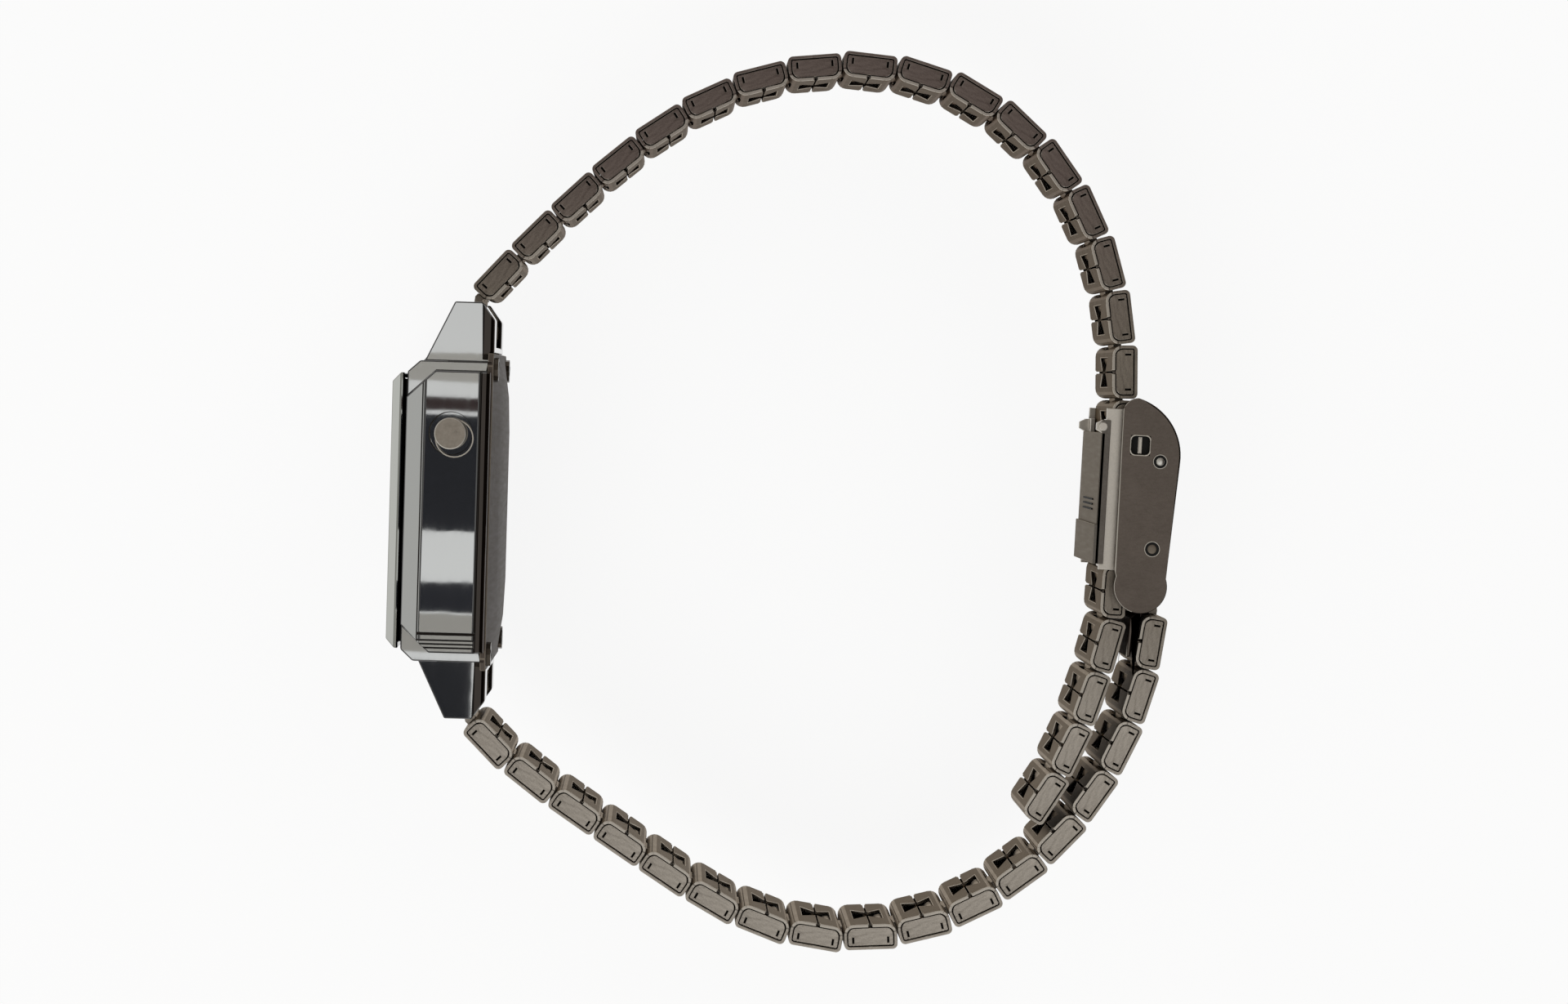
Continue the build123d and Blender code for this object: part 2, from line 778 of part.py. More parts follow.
def make_clasp_sleeve():
    side = sleeve_side()
    arm_pin = (arm_pin_x, arm_pin_y)
    flap_pin = (flap_pin_x, flap_pin_y)
    top_y = (sleeve_above - sleeve_top_wall - slide_gap, sleeve_above - slide_gap)
    sleeve = block((-sleeve_top_back, sleeve_top_front), top_y, (-sleeve_inner_z, sleeve_inner_z))
    lip_y = (-sleeve_below, -sleeve_below + lip_thickness)
    nib_ends = (nib_x - nib_length / 2, nib_x + nib_length / 2)
    nib_sides = (nib_y - nib_height / 2, nib_y + nib_height / 2)
    for hand in (-1, 1):
        sleeve += across(side, *on_side(hand, sleeve_inner_z, sleeve_outer_z))
        lip_z = on_side(hand, sleeve_inner_z - lip_width, sleeve_inner_z)
        sleeve += block((-sleeve_top_back, sleeve_top_front), lip_y, lip_z)
        sleeve += pin(arm_pin_radius, arm_pin, *on_side(hand, sleeve_outer_z, arm_outer_z - seat_gap))
        sleeve += pin(flap_pin_radius, flap_pin, *on_side(hand, sleeve_outer_z, flap_outer_z + seat_gap))
        sleeve += block(nib_ends, nib_sides, on_side(hand, sleeve_outer_z, cover_inner_z - seat_gap))
    return in_clasp([sleeve])


def make_locking_flap():
    """The flap on the wrist side, whose teeth lock between two held links."""
    inner_y = flap_face_y + flap_thickness
    plate = block((flap_plate_back, flap_front), (flap_face_y, inner_y), (-flap_outer_z, flap_outer_z))
    side = outline([
        (flap_plate_back, flap_face_y),
        (flap_front, flap_face_y),
        (flap_front, flap_side_top),
        (flap_pin_x - flap_side_back, flap_side_top),
        (flap_pin_x - flap_side_back, flap_pin_y),
    ])
    flap = plate
    side -= Pos(flap_pin_x, flap_pin_y) * turning_bore(flap_pin_radius)
    for z_range in both_sides(flap_inner_z, flap_outer_z):
        flap += across(side, *z_range)
    tooth_x = pitch / 2
    tooth = outline([
        (tooth_x - tooth_length, inner_y),
        (tooth_x + tooth_length, inner_y),
        (tooth_x + tooth_length / 4, tooth_tip),
        (tooth_x - tooth_length / 4, tooth_tip),
    ])
    for z_range in both_sides(tooth_inner, tooth_inner + tooth_width):
        flap += across(tooth, *z_range)
    for step in range(ridge_count):
        ridge_x = tooth_x + step * ridge_pitch
        ridge_y = (flap_face_y - ridge_height, flap_face_y)
        flap += block((ridge_x, ridge_x + ridge_length), ridge_y, (-tooth_inner, tooth_inner))
    return in_clasp([flap])


def make_clasp_arm():
    """The swing arm: two side bars, a web between them and the pin that carries the cover."""
    arm_turn = facing((arm_pin_x, arm_pin_y), arm_angle)
    bar = Rectangle(arm_length + arm_width, arm_width)
    bar = Pos(arm_length / 2, 0) * chamfer(bar.vertices(), arm_corner)
    bar -= turning_bore(arm_pin_radius)
    web_y = (-arm_web_rise - arm_web_thickness / 2, -arm_web_rise + arm_web_thickness / 2)
    arm = block((arm_web_start, arm_length), web_y, (-arm_inner_z, arm_inner_z))
    for z_range in both_sides(arm_inner_z, arm_outer_z):
        arm += across(bar, *z_range)
    pin_end = cover_outer_z + pin_dome
    arm += pin(cover_pin_radius, (arm_length, 0), -pin_end, pin_end)
    return in_clasp([arm_turn * arm])


def cover_side():
    """The outline of the cover's sides: a flat lower edge and a back that is rounded at both ends."""
    bottom = Line(cover_heel, cover_toe)
    nose = ThreePointArc(cover_toe, cover_nose, cover_nose_top)
    brow = ThreePointArc(cover_nose_top, cover_brow, cover_back_start)
    back = Line(cover_back_start, cover_back_end)
    tail = ThreePointArc(cover_back_end, cover_tail, cover_tail_foot)
    return make_face([bottom, nose, brow, back, tail, Line(cover_tail_foot, cover_heel)])


def guard_strip():
    """The tongue that guides the strap out of the cover, as a line with its thickness."""
    half = guard_thickness / 2
    route = [guard_root, guard_bend, guard_knee, guard_tip]
    above = [(x + half, y + half) for x, y in route[1:3]]
    below = [(x - half, y - half) for x, y in route[1:3]]
    start = [(guard_root[0], guard_root[1] - half), (guard_root[0], guard_root[1] + half)]
    end = [(guard_tip[0], guard_tip[1] + half), (guard_tip[0], guard_tip[1] - half)]
    return outline([*start, *above, *end, *reversed(below)])


def make_clasp_cover():
    side = cover_side()
    window = Pos(nib_x, nib_y) * Rectangle(cover_window, cover_window)
    pin_hole = Pos(cover_pin_x, cover_pin_y) * turning_bore(cover_pin_radius)
    top = side - offset(side, amount=-cover_wall)
    room_height = cover_brow[1]
    top_room = Pos(0, cover_top_start + room_height / 2) * Rectangle(2 * cover_top_front, room_height)
    cover = across(top & top_room, -cover_inner_z, cover_inner_z)
    for z_range in both_sides(cover_inner_z, cover_outer_z):
        cover += across(side - window - pin_hole, *z_range)
    cover += pin(strap_pin_radius, (strap_pin_x, strap_pin_y), -cover_inner_z, cover_inner_z)
    cover += across(guard_strip(), -guard_width / 2, guard_width / 2)
    half = guard_thickness / 2
    root_x = (guard_root[0], guard_root[0] + guard_root_length)
    root = block(root_x, (guard_root[1] - half, guard_root[1] + half), (-cover_inner_z, cover_inner_z))
    return in_clasp([cover + root])


# Nodes

link_solids = plain_link()
nodes = {
    "case_body": make_case_body(),
    "front_bezel": make_front_bezel(),
    "crystal": make_crystal(),
    "dial_mask": make_dial_mask(),
    "lcd_glass": make_lcd_glass(),
    "module_housing": make_module_housing(),
    "circuit_board": make_circuit_board(),
    "battery": make_battery(),
    "battery_clip": make_battery_clip(),
    "case_gasket": make_case_gasket(),
    "case_back": make_case_back(),
    "case_back_screws": make_case_back_screws(),
    "upper_spring_bar": [make_spring_bar(bar_height, bar_length, bar_tip_length)],
    "clasp_sleeve": make_clasp_sleeve(),
    "locking_flap": make_locking_flap(),
    "clasp_arm": make_clasp_arm(),
    "clasp_cover": make_clasp_cover(),
    "clasp_held_links": make_held_links(),
}

for node, y, side in button_places():
    nodes[node] = make_button(y, side)

for index, (place, angle) in enumerate(zip(upper_places, upper_angles)):
    solids = [*link_solids]
    if index == 0:
        solids.append(lug_connector().mirror(Plane.YZ))
    nodes[f"upper_link_{index + 1:02d}"] = placed(solids, place, angle)

for index, (place, angle) in enumerate(zip(tail_places, tail_angles)):
    is_last = index == len(tail_angles) - 1
    solids = [link_shell(front_is_open=False)] if is_last else link_solids
    nodes[f"tail_link_{index + 1}"] = placed(solids, place, angle)

for index, (place, angle) in enumerate(zip(lower_places, closed_angles)):
    number = len(lower_angles) - index
    solids = [*link_solids]
    if number == 1:
        solids = [link_solids[0], lug_connector()]
    if index == 0:
        solids.append(clasp_connector().mirror(Plane.YZ))
    solids = placed(solids, place, angle)
    if number == 1:
        solids.append(make_spring_bar(-bar_height, squeezed_bar_length, squeezed_tip_length))
    nodes[f"lower_link_{number:02d}"] = solids

os.makedirs("parts", exist_ok=True)
for node, solids in nodes.items():
    export_step(Compound(label=node, children=solids), os.path.join("parts", f"{node}.step"))

print("clasp middle", [round(value, 2) for value in clasp_middle])
print("lower strap angles", [round(angle, 1) for angle in closed_angles])
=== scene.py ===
import json
from math import atan2, cos, radians, sin

import bmesh
import bpy
from mathutils import Matrix, Vector


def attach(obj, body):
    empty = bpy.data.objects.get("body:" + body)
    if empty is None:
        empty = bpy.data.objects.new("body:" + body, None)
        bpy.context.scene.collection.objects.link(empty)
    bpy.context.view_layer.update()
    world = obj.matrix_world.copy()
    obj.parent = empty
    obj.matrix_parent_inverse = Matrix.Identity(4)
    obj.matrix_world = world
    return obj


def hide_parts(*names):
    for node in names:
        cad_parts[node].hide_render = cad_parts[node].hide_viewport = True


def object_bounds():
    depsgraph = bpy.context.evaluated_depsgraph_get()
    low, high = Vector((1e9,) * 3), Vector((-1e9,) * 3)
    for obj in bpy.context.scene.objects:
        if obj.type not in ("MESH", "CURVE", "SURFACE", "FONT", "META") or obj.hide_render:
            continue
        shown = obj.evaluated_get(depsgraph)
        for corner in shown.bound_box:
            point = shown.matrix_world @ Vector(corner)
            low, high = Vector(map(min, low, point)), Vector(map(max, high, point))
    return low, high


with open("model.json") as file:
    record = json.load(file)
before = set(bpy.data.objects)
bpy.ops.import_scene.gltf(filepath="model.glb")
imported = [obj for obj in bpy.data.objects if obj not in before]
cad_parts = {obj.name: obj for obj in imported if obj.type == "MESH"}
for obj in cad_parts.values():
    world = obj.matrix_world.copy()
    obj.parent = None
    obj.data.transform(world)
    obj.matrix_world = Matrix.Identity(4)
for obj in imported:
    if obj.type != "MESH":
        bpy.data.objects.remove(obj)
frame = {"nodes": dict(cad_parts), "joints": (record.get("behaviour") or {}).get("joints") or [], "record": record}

mm = 0.001
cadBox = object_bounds()
record = frame["record"]


# Shader maths: a socket that can be added, multiplied and compared

class Socket:
    def __init__(self, finish, output):
        self.finish = finish
        self.output = output

    def maths(self, operation, *values):
        return self.finish.node("ShaderNodeMath", {"operation": operation}, dict(enumerate(values)))

    def __add__(self, other):
        return self.maths("ADD", self, other)

    def __sub__(self, other):
        return self.maths("SUBTRACT", self, other)

    def __rsub__(self, other):
        return self.maths("SUBTRACT", other, self)

    def __mul__(self, other):
        return self.maths("MULTIPLY", self, other)

    def __gt__(self, other):
        return self.maths("GREATER_THAN", self, other)

    def __lt__(self, other):
        return self.maths("LESS_THAN", self, other)

    def size(self):
        return self.maths("ABSOLUTE", self)

    __radd__ = __add__
    __rmul__ = __mul__


class Finish:
    def __init__(self, name, owner=None):
        self.material = owner or bpy.data.materials.new(name)
        self.material.use_nodes = True
        self.tree = self.material.node_tree
        self.shader = self.tree.nodes.get("Principled BSDF") or self.tree.nodes["Background"]

    # any node: its settings first, then the values or links of its sockets
    def node(self, kind, settings=None, sockets=None, output=0):
        made = self.tree.nodes.new(kind)
        for name, value in (settings or {}).items():
            if name == "stops":
                self.fillRamp(made.color_ramp, value)
            else:
                setattr(made, name, value)
        for name, value in (sockets or {}).items():
            self.feed(made.inputs[name], value)
        return Socket(self, made.outputs[output])

    def feed(self, target, value):
        if isinstance(value, Socket):
            self.tree.links.new(value.output, target)
        else:
            target.default_value = value

    def fillRamp(self, ramp, stops):
        while len(ramp.elements) < len(stops):
            ramp.elements.new(1)
        for element, (position, shade) in zip(ramp.elements, stops):
            element.position = position
            element.color = (*colour(shade), 1)

    def set(self, **sockets):
        for name, value in sockets.items():
            self.feed(self.shader.inputs[name.replace("_", " ")], value)

    # noise with so many cells to the millimetre
    def noise(self, place, cells, detail=3, stretch=(1, 1, 1)):
        mapped = self.node("ShaderNodeMapping", {}, {"Vector": place, "Scale": stretch})
        return self.node("ShaderNodeTexNoise", {}, {"Vector": mapped, "Scale": cells, "Detail": detail})

    # the place on the object in millimetres
    def place(self):
        place = self.node("ShaderNodeTexCoord", output="Object")
        return self.node("ShaderNodeVectorMath", {"operation": "SCALE"}, {0: place, "Scale": 1 / mm})

    def axes(self, place, names="XYZ"):
        return [self.node("ShaderNodeSeparateXYZ", {}, {0: place}, output=name) for name in names]

    # something kept in the mesh, such as the place in a piece's own frame
    def attribute(self, name, output):
        return self.node("ShaderNodeAttribute", {"attribute_name": name}, output=output)

    def mix(self, factor, first, second):
        settings = {"data_type": "RGBA"}
        sockets = {0: factor, 6: paint(first), 7: paint(second)}
        return self.node("ShaderNodeMix", settings, sockets, output=2)

    def bump(self, height, distance):
        return self.node("ShaderNodeBump", {}, {"Height": height, "Distance": distance})


# a written colour such as "#8a8378" as linear light
def colour(text):
    parts = [int(text[at:at + 2], 16) / 255 for at in (1, 3, 5)]
    return tuple(part / 12.92 if part < 0.04045 else ((part + 0.055) / 1.055) ** 2.4 for part in parts)


def paint(value):
    return (*colour(value), 1) if isinstance(value, str) else value


# Sizes of the bracelet links: x along the strap, y away from the wrist, z across

link = {
    "length": 4.32, "width": 13.0, "thickness": 2.05, "wall": 0.25, "gap": 0.13, "overlength": 0.12,
    "wristRadius": 0.82, "outerRadius": 0.42, "cornerSteps": 5, "edge": 0.05,
    # the wrist side: a seam with a mouth at each end and a window with a narrow waist
    "seam": 0.16, "seamMouth": 0.3, "mouthDepth": 0.7,
    "windowLength": 2.4, "windowWidth": 5.6, "windowWaist": 2.4,
    # openings for the connectors
    "rearSlot": (-0.85, 0.5), "rearSlotRun": 0.3, "frontSlot": 0.4, "slotHalf": 1.97,
    # end plates and their notches
    "plate": 0.3, "plateInset": 0.09, "plateFit": 0.07,
    "notchPlace": 1.42, "notchWidth": 0.14, "notchRange": (0.02, 0.52), "notchDepth": 0.22,
    # connector and the dark fillers that stand for the shade inside the link
    "beadRadius": 0.75, "beadGap": 0.05, "neck": 0.7, "neckSink": 0.1, "connectorHalf": 1.9,
    "root": 0.85, "rootRadius": 0.3, "rootSteps": 3,
    "fillStart": 2.1, "fillEnd": 5.9, "fillInset": 0.5, "fillRadius": 0.2, "fillSteps": 2,
    # where the finish paints a highlight on the rim and painted shade on the wrist side
    "rimSide": -0.5, "rimDepth": 0.03, "wristSide": -0.98,
}
strapLinks = {"upper": 17, "lower": 17, "tail": 5}
strapEnds = {
    "lugReach": 2.37, "lugDrop": 1.4, "lugHalf": 4.8, "claspReach": 5.4, "claspDrop": 1.42, "claspHalf": 4.0,
    "knuckle": 0.9, "knuckleSides": 32, "rise": 0.4, "lastTailAngle": -122,
    "barRadius": 0.6, "barHalf": 4.5, "tipRadius": 0.4, "tipHalf": 4.9, "barSides": 28,
}


# Finishes

# brushed steel mixes a fine grain, specks and large clouds
brushing = {
    "grainShare": 0.5, "speckShare": 0.3, "cloudShare": 0.2, "speckScale": 2.5, "cloudScale": 1 / 9,
    "middle": 0.48, "roughSpread": 0.25, "speckRelief": 0.5,
}
# in each steel look, the bevelled edges are painted lighter as a highlight
bandSteel = {
    "metallic": 1.0, "grazing": "#bdb3a7", "dark": "#443d36", "light": "#958b7e", "paintedEdge": "#d4ccc0",
    # the hollow's colour is painted shadow, the wrist side's is painted shade, and the rim's share is a painted
    # highlight, weaker on the outer side
    "inside": "#0f0d0b", "wristShade": "#3a322b", "wristShare": 0.72, "rim": 0.4, "outerHighlight": 0.3,
    "roughness": 0.4, "grain": 4.5, "stretch": (0.25, 1, 1), "relief": 0.005, "wear": 0.75, "contrast": 2.0,
    # painted light and shade by height: the band is painted lighter low down and darker high up; heights at which
    # the band turns to another tone, over what reach, and its two shades there
    "tones": ((-4.0, -12.0, "#6a6259", "#cbc2b6"), (14.0, 14.0, "#3a2f2b", "#82756e")),
}
claspSteel = {
    "metallic": 1.0, "grazing": "#8c7f72", "dark": "#4e463f", "light": "#746a62", "paintedEdge": "#d6d0c5",
    # the edges are painted bright as a highlight on the wrist side of this place and painted dark as shade beyond
    # it
    "highlightBefore": 51.2, "farEdgeShade": "#2c2622",
    "roughness": 0.4, "grain": 5.0, "stretch": (0.5, 1, 1), "relief": 0.004, "wear": 0.8, "contrast": 1.6,
}
sleeveSteel = {
    "metallic": 1.0, "grazing": "#ffffff", "dark": "#a8a197", "light": "#d6cfc4", "paintedEdge": "#e6e1d8",
    "roughness": 0.4, "grain": 3.0, "stretch": (1, 1, 0.08), "relief": 0.003, "wear": 0.6, "contrast": 1.4,
}
flapSteel = {**sleeveSteel, "grazing": "#c4bdb3", "dark": "#4a443e", "light": "#77716a", "paintedEdge": "#8d867c"}
buttonSteel = {
    "metallic": 1.0, "grazing": "#c4bdb3", "dark": "#7b7267", "light": "#a69d91", "paintedEdge": "#ece7de",
    "roughness": 0.32, "grain": 2.0, "stretch": (1, 1, 0.1), "relief": 0.003, "wear": 0.7, "contrast": 1.4,
}
backSteel = {
    "metallic": 0.35, "grazing": "#3a332d", "dark": "#453d37", "light": "#665d55", "paintedEdge": "#9a8f80",
    "roughness": 0.5, "grain": 3.0, "stretch": (1, 1, 0.06), "relief": 0.0003, "wear": 0.5, "contrast": 1.2,
}
caseChrome = {
    # the bevelled edges are painted dark, as shade and dark reflection along the creases
    "shade": "#cfd0cf", "edgeShade": "#1d1a19", "wear": 0.85, "roughness": 0.018, "roughSpread": 0.02,
    "wave": 0.25, "relief": 0.0015, "scratch": 2.5, "stretch": (1, 0.06, 1), "scratchRelief": 0.05,
    # behind shadowFrom the case is painted as in its own shadow, and its side's grooves lie between two depths,
    # their floors painted dark as shade
    "shadowFrom": -1.02, "shadow": "#37302b", "grooves": (14.12, 14.2), "grooveShade": "#2b2725",
}
bezelChrome = {
    # the bezel's bevelled edges are painted darker as shade, and behind shadowFrom it is painted black as the
    # shadow gap
    **caseChrome, "shade": "#b4b5b0", "edgeShade": "#85857f", "shadowFrom": -7.64, "shadow": "#0d0c0c",
}
crystalGlass = {"shade": "#f4f6f6", "refraction": 1.5, "smear": 0.12, "smearRoughness": 0.02}
plainCloud = 0.9


# the places inside a link, behind the skin that shows, where the finish paints shadow
def insideLink(x, y, z):
    length, height, width = [link[name] / 2 for name in ("length", "thickness", "width")]
    skin = link["wall"] - link["rimDepth"]
    deep = z.size() < width - link["plateInset"] - link["rimDepth"]
    return (x.size() < length - skin) * (y.size() < height - skin) * deep


# the links' own frame tells their inside, painted dark as shadow, and the wrist side of their rim, painted as a
# highlight; the wrist side is painted as shade, and the height paints the band lighter low and darker high
def bandShade(finish, look, mottle, shade, paintedEdge, place):
    (x, y, z), (height,) = finish.axes(place), finish.axes(finish.place(), "Y")
    for start, reach, dark, light in look["tones"]:
        shade = finish.mix((height - start) * (1 / reach), shade, finish.mix(mottle, dark, light))
    shade = finish.mix((y < link["wristSide"]) * look["wristShare"], shade, look["wristShade"])
    rim = (z.size() > link["width"] / 2 - link["rimDepth"]) * (y < link["rimSide"])
    paintedEdge = paintedEdge.maths("MAXIMUM", paintedEdge, rim * look["rim"])
    paintedEdge = paintedEdge * ((y < link["rimSide"]) * (1 - look["outerHighlight"]) + look["outerHighlight"])
    shade = finish.mix(paintedEdge, shade, look["paintedEdge"])
    return finish.mix(insideLink(x, y, z), shade, look["inside"])


# painted highlight on the near edges and painted shade on the far ones
def claspShade(finish, look, shade, paintedEdge, place):
    near = finish.axes(place, "X")[0] < look["highlightBefore"]
    shade = finish.mix(paintedEdge * near, shade, look["paintedEdge"])
    return finish.mix(paintedEdge * (1 - near), shade, look["farEdgeShade"])


def brushedSteel(name, look):
    finish = Finish(name)
    place = finish.attribute("linkPlace", "Vector") if "tones" in look else finish.place()
    grain = finish.noise(place, look["grain"], 4, look["stretch"])
    speck = finish.noise(place, look["grain"] * brushing["speckScale"])
    cloud = finish.noise(place, look["grain"] * brushing["cloudScale"], 2)
    blend = grain * brushing["grainShare"] + speck * brushing["speckShare"] + cloud * brushing["cloudShare"]
    mottle = blend * look["contrast"] - (look["contrast"] - 1) / 2
    shade = finish.mix(mottle, look["dark"], look["light"])
    # the bevelled edges, where the finish paints a highlight, and on the clasp also shade on its far edges
    paintedEdge = finish.attribute("edgeWear", "Fac") * look["wear"]
    if "tones" in look:
        shade = bandShade(finish, look, mottle, shade, paintedEdge, place)
    elif "highlightBefore" in look:
        shade = claspShade(finish, look, shade, paintedEdge, place)
    else:
        shade = finish.mix(paintedEdge, shade, look["paintedEdge"])
    finish.set(Base_Color=shade, Metallic=look["metallic"], Specular_Tint=paint(look["grazing"]))
    finish.set(Roughness=(grain - brushing["middle"]) * brushing["roughSpread"] + look["roughness"])
    finish.set(Normal=finish.bump(grain + speck * brushing["speckRelief"], look["relief"] * mm))
    return finish.material


def polishedSteel(name, look):
    finish = Finish(name)
    place = finish.place()
    wave = finish.noise(place, look["wave"], 2)
    scratch = finish.noise(place, look["scratch"], 3, look["stretch"])
    # painted dark lines on the bevelled edges, painted shade on the groove floors and painted shadow behind
    # shadowFrom
    shade = finish.mix(finish.attribute("edgeWear", "Fac") * look["wear"], look["shade"], look["edgeShade"])
    depth, side = finish.axes(place, "XZ")
    low, high = look["grooves"]
    shade = finish.mix((side.size() > low) * (side.size() < high), shade, look["grooveShade"])
    shade = finish.mix(depth > look["shadowFrom"], shade, look["shadow"])
    finish.set(Base_Color=shade, Metallic=1.0)
    finish.set(Roughness=(scratch - 0.5) * look["roughSpread"] + look["roughness"])
    finish.set(Normal=finish.bump(wave + scratch * look["scratchRelief"], look["relief"] * mm))
    return finish.material


def plainFinish(name, shade, roughness, metallic=0.0, spread=0.04):
    finish = Finish(name)
    cloud = finish.noise(finish.place(), plainCloud)
    finish.set(Base_Color=paint(shade), Metallic=metallic)
    finish.set(Roughness=(cloud - 0.5) * spread + roughness)
    return finish.material


def clearGlass(name, look):
    finish = Finish(name)
    smear = finish.noise(finish.place(), look["smear"], 2)
    finish.set(Base_Color=paint(look["shade"]), Transmission_Weight=1.0, IOR=look["refraction"])
    finish.set(Roughness=smear * look["smearRoughness"])
    return finish.material


finishes = {
    "case_metal": polishedSteel("case chrome", caseChrome),
    "bezel_metal": polishedSteel("bezel chrome", bezelChrome),
    "crystal_glass": clearGlass("crystal glass", crystalGlass),
    "dial_print": plainFinish("dial print", "#23262b", 0.45),
    "cell_glass": plainFinish("display glass", "#9aa392", 0.2),
    "module_plastic": plainFinish("module plastic", "#1d1f22", 0.5),
    "board_laminate": plainFinish("board laminate", "#2c5a3c", 0.45),
    "battery_can": plainFinish("battery can", "#b9bcc0", 0.25, 1.0),
    "spring_steel": plainFinish("spring steel", "#8f8b83", 0.3, 1.0),
    "gasket_rubber": plainFinish("gasket rubber", "#1b1b1c", 0.7),
    "back_steel": brushedSteel("back steel", backSteel),
    "screw_steel": plainFinish("screw steel", "#4d463e", 0.3, 1.0),
    "button_metal": brushedSteel("button steel", buttonSteel),
    "band_steel": brushedSteel("band steel", bandSteel),
    "sleeve_steel": brushedSteel("sleeve steel", sleeveSteel),
    "clasp_steel": brushedSteel("clasp steel", claspSteel),
}

for part in record["subparts"]:
    mesh = frame["nodes"][part["node"]].data
    mesh.materials.clear()
    mesh.materials.append(finishes[part["material_slot"]])
print("finishes assigned")


# Modelling helpers: shapes are in millimetres until placed() makes a piece of them

cutDistance = 1e-5
mergeDistance = 0.001
bevels = {
    "steps": 2, "shortest": 1.5, "faceShare": 2.0, "narrow": 0.3,
    "bluntest": radians(150), "flattest": radians(1),
}


def roundedPlate(length, height, lowRadius, highRadius, segments):
    shape = bmesh.new()
    bmesh.ops.create_grid(shape, x_segments=1, y_segments=1, size=0.5)
    bmesh.ops.scale(shape, vec=(length, height, 1), verts=shape.verts)
    for side, radius in ((-1, lowRadius), (1, highRadius)):
        corners = [vert for vert in shape.verts if vert.co.y * side > 0]
        bmesh.ops.bevel(shape, geom=corners, offset=radius, offset_type="OFFSET", segments=segments,
                        profile=0.5, affect="VERTICES", material=-1)
    return shape


def flatShape(points):
    shape = bmesh.new()
    shape.faces.new([shape.verts.new((x, y, 0)) for x, y in points])
    return shape


def thickened(shape, low, high):
    grown = bmesh.ops.extrude_face_region(shape, geom=shape.faces[:])["geom"]
    top = [part for part in grown if isinstance(part, bmesh.types.BMVert)]
    bmesh.ops.translate(shape, verts=top, vec=(0, 0, high - low))
    bmesh.ops.translate(shape, verts=shape.verts, vec=(0, 0, low))
    bmesh.ops.recalc_face_normals(shape, faces=shape.faces)
    return shape


def roundPin(radius, place, low, high, segments=24):
    shape = bmesh.new()
    bmesh.ops.create_cone(shape, cap_ends=True, segments=segments, radius1=radius, radius2=radius,
                          depth=high - low)
    bmesh.ops.translate(shape, verts=shape.verts, vec=(*place, (low + high) / 2))
    return shape


# cuts the surface at the limits along each axis
def scored(shape, limits):
    for axis, cuts in limits.items():
        normal = Vector(("xyz".index(axis) == step for step in range(3)))
        for cut in cuts:
            everything = shape.verts[:] + shape.edges[:] + shape.faces[:]
            bmesh.ops.bisect_plane(shape, geom=everything, dist=cutDistance, plane_co=normal * cut,
                                   plane_no=normal)


def facesWithin(shape, limits):
    found = []
    for face in shape.faces:
        middle = face.calc_center_median()
        if all(low < getattr(middle, axis) < high for axis, (low, high) in limits.items()):
            found.append(face)
    return found


# an opening in a sheet: it is cut at some of the box's sides and everything in the box goes
def opened(shape, cutLimits, otherLimits):
    scored(shape, cutLimits)
    bmesh.ops.delete(shape, geom=facesWithin(shape, {**cutLimits, **otherLimits}), context="FACES")


# a pocket in a face that looks along z
def pocketed(shape, cutLimits, otherLimits, depth):
    scored(shape, cutLimits)
    floor = facesWithin(shape, {**cutLimits, **otherLimits})
    grown = bmesh.ops.extrude_face_region(shape, geom=floor)["geom"]
    sunk = [part for part in grown if isinstance(part, bmesh.types.BMVert)]
    bmesh.ops.translate(shape, verts=sunk, vec=(0, 0, -depth))
    bmesh.ops.delete(shape, geom=floor, context="FACES_ONLY")


def mirrored(shape, axis):
    factors = [-1 if name == axis else 1 for name in "xyz"]
    bmesh.ops.scale(shape, vec=factors, verts=shape.verts)
    bmesh.ops.reverse_faces(shape, faces=shape.faces)
    return shape


def joined(shapes):
    whole = bmesh.new()
    for shape in shapes:
        mesh = bpy.data.meshes.new("part")
        shape.to_mesh(mesh)
        whole.from_mesh(mesh)
        bpy.data.meshes.remove(mesh)
    return whole


# turn and place of something drawn along x, from two of its points and where they lie
def twoPoint(first, second, firstPlace, secondPlace):
    drawn = Vector(second) - Vector(first)
    real = Vector(secondPlace) - Vector(firstPlace)
    turn = Matrix.Rotation(atan2(real.y, real.x) - atan2(drawn.y, drawn.x), 4, "Z")
    start = turn @ Vector((*first, 0))
    return Matrix.Translation((firstPlace[0] - start.x, firstPlace[1] - start.y, 0)) @ turn


def faceWidth(face):
    return 2 * face.calc_area() / face.calc_perimeter()


# breaks the sharp edges and marks the new faces, so that a finish can paint them: a painted highlight on the steel
# and painted dark lines as shade on the chrome; narrow faces get a narrow bevel, and what lies within a spared
# place (middle and radius) stays sharp
def edged(shape, fullWidth, sharp, spared=()):
    wear = shape.faces.layers.float.new("edgeWear")
    for width in (fullWidth, fullWidth * bevels["narrow"]):
        shape.normal_update()
        corners = []
        for edge in shape.edges:
            if len(edge.link_faces) != 2 or not sharp < edge.calc_face_angle() < bevels["bluntest"]:
                continue
            middle = (edge.verts[0].co + edge.verts[1].co) / 2
            widest = min(faceWidth(face) for face in edge.link_faces) / bevels["faceShare"]
            unbevelled = not any(face[wear] for face in edge.link_faces)
            away = all((middle.xy - Vector(place)).length > radius for place, radius in spared)
            if width < widest and unbevelled and away and edge.calc_length() > bevels["shortest"] * width:
                corners.append(edge)
        broken = bmesh.ops.bevel(shape, geom=corners, offset=width, offset_type="OFFSET", profile=0.5,
                                 segments=bevels["steps"], affect="EDGES", clamp_overlap=False, material=-1)
        for face in broken["faces"]:
            face[wear] = 1.0


